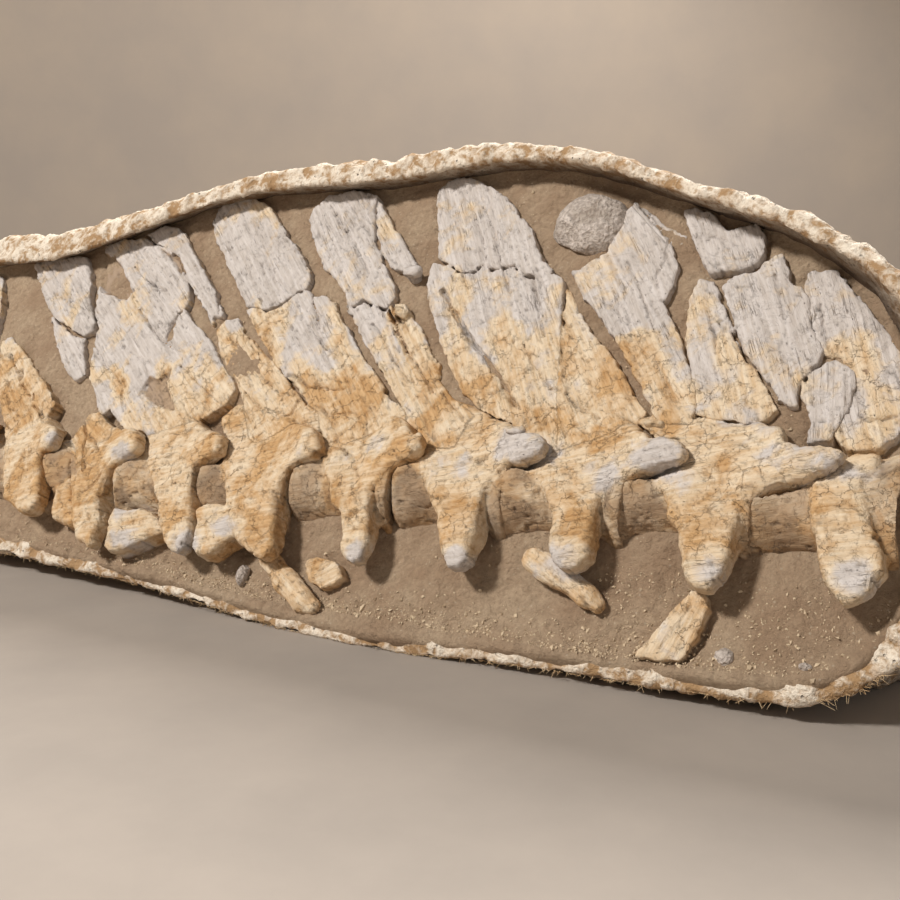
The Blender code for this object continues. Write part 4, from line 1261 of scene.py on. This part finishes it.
def boneSurface(points, quads, size):
    # fibres, pores, dents, stains and painted shade in the hollows, worked out at the mesh's own points
    normals = vertexNormals(points, quads)
    u, v, w = points.T
    fibre = np.full(len(points), column["fibre"])
    ochreLine = np.full(len(points), 110.0)
    isSlab = np.zeros(len(points), dtype=bool)
    for slab in size.get("slabs", []):
        box = np.array(slab["outline"])
        near = ((u > box[:, 0].min() - 2) & (u < box[:, 0].max() + 2)
                & (v > box[:, 1].min() - 2) & (v < box[:, 1].max() + 2)
                & (w < slab["top"] + 3.5))
        index = np.nonzero(near)[0]
        inside = polygonDistance(u[index], v[index], slab["outline"]) < 1.5
        index = index[inside]
        fibre[index] = slab["fibre"]
        ochreLine[index] = slab["ochre"]
        isSlab[index] = True
    if "line" in size:
        fibre[:] = size["fibre"]
        ochreLine[:] = size["ochre"]
    turn = np.radians(fibre)
    along = u * np.cos(turn) + v * np.sin(turn)
    across = -u * np.sin(turn) + v * np.cos(turn)
    grain = np.stack([along, across, w], axis=1)

    ridges = 0.4 * noise2(along / 24.0, across / 2.6, 1)
    ridges += 0.55 * noise2(along / 60.0, across / 8.0, 2)
    dents = 0.9 * noise3(points, 24.0, 3) + 0.5 * noise3(points, 9.0, 4)
    dents += 0.25 * noise3(points, 4.0, 5)
    # flakes of the outer layer: flat patches with a sharp step between them
    layer = noise3(points, 15.0, 10) * 3.0 + 0.3 * noise3(points, 5.0, 11)
    rest = layer - np.floor(layer)
    flake = np.floor(layer) + clamp01((rest - 0.42) / 0.16)
    lift = np.where(isSlab, ridges + 0.2 * noise3(points, 5.0, 6) + 0.12 * flake,
                    dents + 0.42 * flake)
    pores = clamp01(noise2(along / 3.6, across / 1.9, 7) * 3.0 - 1.85)
    lift = lift - 1.2 * pores
    # cracks that run with the fibres
    split = noise2(along / 42.0, across / 5.5, 18) + 0.12 * noise2(along / 9.0, across / 3.0, 19)
    split = clamp01(1.0 - np.abs(split) / 0.055) * isSlab
    split = split * clamp01(noise2(along / 30.0, across / 14.0, 20) * 2.5)
    lift = lift - 0.9 * split
    crackNoise = noise3(points * np.array([0.8, 1.0, 1.0]), 15.0, 8)
    crack = clamp01(1.0 - np.abs(crackNoise + 0.14 * noise3(points, 4.0, 9)) / 0.07)
    crack = crack * np.where(isSlab, 0.3, 1.0) * clamp01(0.5 + noise3(points, 30.0, 17))
    lift = lift - 0.9 * crack
    smooth = neighbourMean(points, quads, 6)
    cupped = np.einsum("ij,ij->i", smooth - points, normals)  # above zero in a hollow
    points = points + normals * lift[:, None]

    ochre = (ochreLine - v) / 75.0 + 0.5 + 0.75 * noise2(along / 40.0, across / 20.0, 12)
    ochre = clamp01(ochre + 0.25 * noise2(u / 8.0, v / 8.0, 13))
    for pu, pv, wide, tall in palePlaces:
        ochre = ochre * clamp01(((u - pu) / wide) ** 2 + ((v - pv) / tall) ** 2)
    ground = groundHeight(u, v)
    soil = clamp01((ground + 3.0 + 2.0 * noise2(u / 9.0, v / 9.0, 14) - points[:, 2]) / 3.0)
    for _, outline in size.get("sunk", []):
        inside = polygonDistance(u, v, outline) + 2.0 * noise2(u / 5.0, v / 5.0, 15)
        soil = np.maximum(soil, 0.9 * clamp01(-inside / 2.0 + 0.5))
    # painted shade: darker where the surface is hollow, and in pores, cracks and splits
    hollowShadeAndPores = clamp01((cupped - 0.28) / 0.9) + 0.5 * pores + 0.15 * crack + 0.4 * split
    if "arch" in size:
        # brown stain on the sunken middles of the centra, behind the arch, with patches of painted shade
        # on it
        behind = np.full(len(points), 99.0)
        for outline, _ in [archOf(size)] + size.get("lumps", []):
            behind = np.minimum(behind, polygonDistance(u, v, outline))
        stained = clamp01(behind / 3.0) * clamp01((25.0 - points[:, 2]) / 6.0)
        stained = stained * clamp01((size["foot"][1] + 96.0 - v) / 10.0)
        stained = stained * clamp01(0.75 + 0.6 * noise2(u / 12.0, v / 12.0, 16)) * ~isSlab
        soil = np.maximum(soil, 0.75 * stained)
        hollowShadeAndPores = hollowShadeAndPores + 0.3 * stained * clamp01(0.2 + 1.5 * noise2(u / 9.0, v / 9.0, 21))
    return points, grain, ochre, soil, clamp01(hollowShadeAndPores)


def addBone(name, size, previous=None):
    points, quads = shapeBone(size, previous)
    points, grain, ochre, soil, hollowShadeAndPores = boneSurface(points, quads, size)
    normals = vertexNormals(points, quads)
    top = normals[points[:, 2] > np.percentile(points[:, 2], 70)]
    if top[:, 2].mean() < 0:
        quads = quads[:, ::-1]
    world = facePoints(points[:, 0], points[:, 1], points[:, 2])
    made = addMesh(name.replace("_", "") + "Detail", world, quads, boneMatt,
                   {"place": points, "grain": grain, "ochre": ochre, "soil": soil,
                    "hollowShadeAndPores": hollowShadeAndPores})
    return carried(made, name)


def addBones():
    previous = None
    for name, size in bones.items():
        addBone(name, size, previous)
        previous = size
    for name, size in {**looseSlabs, **ribs}.items():
        addBone(name, size)


addBones()
print("bones made")


def siltHeight(u, v):
    # height of the silt, and how far a point lies past the inner wall
    height = groundHeight(u, v) + sediment["rise"] * clamp01((v - 20.0) / 40.0)
    height = height + 5.0 * clamp01((v - 165.0) / 60.0)
    height = height + 1.3 * noise2(u / 31.0, v / 31.0, 1) + 0.8 * noise2(u / 13.0, v / 13.0, 2)
    height = height + 0.45 * noise2(u / 5.2, v / 5.2, 3) + 0.3 * noise2(u / 2.6, v / 2.6, 4)
    # chips and clods
    height = height + 1.6 * clamp01(noise2(u / 6.5, v / 6.5, 5) * 3.0 - 1.9)
    # it climbs the plaster a little, spills on to the lip and goes down inside the wall
    ring = jacketRing(360, 6.0, 0.0, inner=True)
    depth = ring[:, 2] + 6.0 - groundHeight(ring[:, 0], ring[:, 1])
    wall = jacketRing(360, np.maximum(depth, 1.0), 0.0, inner=True)[:, :2]
    inside = polygonDistance(u.astype(np.float32), v.astype(np.float32), wall)
    height = height + 5.0 * clamp01(1.0 + inside / 12.0) ** 2
    over = 1.0 + 4.0 * clamp01((-60.0 - v) / 30.0)
    height = height - 2.4 * np.maximum(inside - over, 0.0)
    crumbly = clamp01(1.0 - np.abs(v + 104.0) / 22.0) * clamp01((700.0 - u) / 60.0)
    rough = 1.3 * noise2(u / 7.0, v / 7.0, 8) + 0.9 * noise2(u / 3.4, v / 3.4, 9)
    return height + crumbly * rough, inside


def addSediment():
    step = sediment["step"] * 1.0
    u1 = np.arange(sediment["corner"][0], sediment["corner"][0] + sediment["size"][0], step)
    v1 = np.arange(sediment["corner"][1], sediment["corner"][1] + sediment["size"][1], step)
    u, v = np.meshgrid(u1, v1, indexing="ij")
    height, inside = siltHeight(u, v)
    # marks of the tools beside the bones
    edge = np.full(u.shape, 99.0, dtype=np.float32)
    for size in [*bones.values(), *looseSlabs.values()]:
        for slab in size["slabs"]:
            box = np.array(slab["outline"])
            a = np.searchsorted(u1, [box[:, 0].min() - 12, box[:, 0].max() + 12])
            b = np.searchsorted(v1, [box[:, 1].min() - 12, box[:, 1].max() + 12])
            cut = (slice(*a), slice(*b))
            if edge[cut].size:
                edge[cut] = np.minimum(edge[cut], polygonDistance(
                    u[cut].astype(np.float32), v[cut].astype(np.float32), slab["outline"]))
    ditch = clamp01(1.0 - np.abs(edge - 1.0) / 3.6)
    ditch = ditch * clamp01(0.6 + noise2(u / 12.0, v / 12.0, 6))
    height = height - sediment["trench"] * ditch
    keep = inside < sediment["intoPlaster"]
    rows, columns = u.shape
    whole = keep[:-1, :-1] & keep[1:, :-1] & keep[1:, 1:] & keep[:-1, 1:]
    number = np.arange(rows * columns).reshape(rows, columns)
    quads = np.stack([number[:-1, :-1][whole], number[1:, :-1][whole],
                      number[1:, 1:][whole], number[:-1, 1:][whole]], axis=1)
    points = np.stack([u.ravel(), v.ravel(), height.ravel()], axis=1)
    points, quads = largeParts(points, quads)
    world = facePoints(points[:, 0], points[:, 1], points[:, 2])
    world[:, 2] = np.maximum(world[:, 2], 0.001)  # its edge ends inside the plaster
    made = addMesh("siltFill", world, quads, silt)
    return carried(made, "matrix")


addSediment()
print("sediment made")

stones = {
    # u, v, w, half sizes
    "concretion": dict(at=(496, 203, 2), half=(29, 26, 18), rough=2.4),
    "pebble_1": dict(at=(279, -97, 0), half=(5, 9, 6), rough=0.5),
    "pebble_2": dict(at=(652, -98, 0), half=(6, 6, 4), rough=0.5),
    "pebble_3": dict(at=(698, -96, 0), half=(4, 3, 4), rough=0.4),
}


def addStones():
    for name, size in stones.items():
        at, half = np.array(size["at"], dtype=float), np.array(size["half"], dtype=float)
        step = max(half.min() / 12.0, 0.45)
        clay = Clay(at - half - 4.0, at + half + 4.0, step)
        u = clay.axes[0][:, None, None] - at[0]
        v = clay.axes[1][None, :, None] - at[1]
        w = clay.axes[2][None, None, :] - at[2]
        far = np.sqrt((u / half[0]) ** 2 + (v / half[1]) ** 2 + (w / half[2]) ** 2) - 1.0
        # broken faces
        for way in np.random.default_rng(5).normal(size=(10, 3)):
            way = way / np.linalg.norm(way)
            side = u / half[0] * way[0] + v / half[1] * way[1] + w / half[2] * way[2]
            far = np.maximum(far, side - 0.85)
        clay.field[:] = far * half.min()
        points, quads = clay.surface()
        normals = vertexNormals(points, quads)
        outward = np.einsum("ij,ij->i", normals, points - at).mean()
        if outward < 0:
            quads, normals = quads[:, ::-1], -normals
        big = half.max()
        lift = noise3(points, big * 0.7, 2) + 0.45 * noise3(points, big * 0.28, 3)
        lift += 0.25 * noise3(points, big * 0.12, 4)
        points = points + normals * (size["rough"] * lift)[:, None]
        world = facePoints(points[:, 0], points[:, 1], points[:, 2])
        made = addMesh(name.replace("_", "") + "Detail", world, quads, marl)
        carried(made, name)


addStones()
print("stones made")

# Crumbs of silt and plaster, and jute fibres

scraps = {
    "crumbs": 2600,
    "crumbSize": (0.35, 1.7),  # half sizes
    "fieldU": (-60, 740),  # where they lie
    "fieldV": (-110, 250),
    "lipShare": 0.62,  # share of them on the lip, at lipV and up
    "lipV": -112,
    "cornerShare": 0.18,  # share in the corner at the head end
    "cornerU": (560, 740),
    "cornerV": (-112, -50),
    # loose chips: u, v, half size
    "chips": [(346, -70, 2.8), (668, -102, 3.0), (704, -104, 2.2), (560, -108, 2.2),
              (160, -106, 2.4), (395, -106, 2.6)],
    "fibres": 900,
    "fibreLength": (1.5, 5.0),
    "fibreRadius": (0.14, 0.3),
}


def addCrumbs():
    # broken grains, thickest along the lip and in the corner at the head end
    dice = np.random.default_rng(7)
    unit = np.array([[0, 0, 1], [0, 0, -1], [1, 0, 0], [-1, 0, 0], [0, 1, 0], [0, -1, 0]],
                    dtype=float)
    sides = np.array([[0, 2, 4], [0, 4, 3], [0, 3, 5], [0, 5, 2], [1, 4, 2], [1, 3, 4],
                      [1, 5, 3], [1, 2, 5]])
    tries = 4 * scraps["crumbs"]
    kind = dice.random(tries)
    u = dice.uniform(*scraps["fieldU"], tries)
    v = dice.uniform(*scraps["fieldV"], tries)
    lip = scraps["lipShare"]
    v = np.where(kind < lip, scraps["lipV"] + np.abs(dice.normal(0, 9.0, tries)), v)
    corner = (kind >= lip) & (kind < lip + scraps["cornerShare"])
    u = np.where(corner, dice.uniform(*scraps["cornerU"], tries), u)
    v = np.where(corner, dice.uniform(*scraps["cornerV"], tries), v)
    ring = jacketRing(360, 5.0, 0.0, inner=True)[:, :2]
    free = polygonDistance(u, v, ring) < 1.0
    for size in bones.values():
        free &= polygonDistance(u, v, archOf(size)[0]) > 2.0
    u, v = u[free][:scraps["crumbs"]], v[free][:scraps["crumbs"]]
    halves = dice.uniform(*scraps["crumbSize"], len(u)) * (0.6 + 0.7 * dice.random(len(u)) ** 3)
    chips = np.array(scraps["chips"])
    u, v = np.append(u, chips[:, 0]), np.append(v, chips[:, 1])
    halves = np.append(halves, chips[:, 2])
    height = siltHeight(u, v)[0]
    points, faces = [], []
    for place, half in zip(np.stack([u, v, height], axis=1), halves):
        turn = np.linalg.qr(dice.normal(size=(3, 3)))[0]
        shape = unit * dice.uniform(0.5, 1.15, (6, 1)) * [1.3, 1.0, 0.65]
        points.append(shape @ turn * half + place + [0, 0, 0.25 * half])
        faces.append(sides + 6 * len(faces))
    points, faces = np.concatenate(points), np.concatenate(faces)
    world = facePoints(points[:, 0], points[:, 1], points[:, 2])
    made = addMesh("plasterCrumbs", world, faces, paleCrumbs, smooth=False)
    carried(made)


def addFibres():
    # frayed threads of the burlap: along the outside of the lip, round the head end
    dice = np.random.default_rng(11)
    outer = jacketRing(2000, 5.0, 0.0)
    low = np.nonzero((outer[:, 1] < -80.0) & (outer[:, 0] > -120.0))[0]
    points, faces = [], []
    count = 0
    for _ in range(scraps["fibres"]):
        start = outer[low[int(len(low) * dice.random() ** 0.8)]]
        tuft = 1.0 + 1.3 * clamp01((start[0] - 640.0) / 60.0) * dice.random()
        length = dice.uniform(*scraps["fibreLength"]) * tuft
        way = np.array([dice.normal(0, 1.0), dice.uniform(-1.0, 0.15), dice.uniform(-0.5, 0.9)])
        way = way / np.linalg.norm(way)
        bend = dice.normal(0, 0.5, 3)
        radius = dice.uniform(*scraps["fibreRadius"])
        side = np.cross(way, [0.3, 0.2, 0.9])
        side = side / np.linalg.norm(side)
        other = np.cross(way, side)
        rows = 5
        for k in range(rows):
            t = k / (rows - 1)
            middle = start + way * length * (t - 0.2) + bend * length * 0.4 * t * t
            thin = radius * (1.0 - 0.5 * t)
            points.append([middle + side * thin, middle + other * thin,
                           middle - side * thin, middle - other * thin])
        for k in range(rows - 1):
            a = count + 4 * k
            faces += [[a + j, a + (j + 1) % 4, a + 4 + (j + 1) % 4, a + 4 + j]
                      for j in range(4)]
        count += 4 * rows
    points = np.concatenate(points)
    world = facePoints(points[:, 0], points[:, 1], points[:, 2])
    world[:, 2] = np.maximum(world[:, 2], 0.0003)  # they lie on the floor
    made = addMesh("juteThreads", world, np.array(faces), jute)
    carried(made)


addCrumbs()
addFibres()
print("crumbs and fibres made")
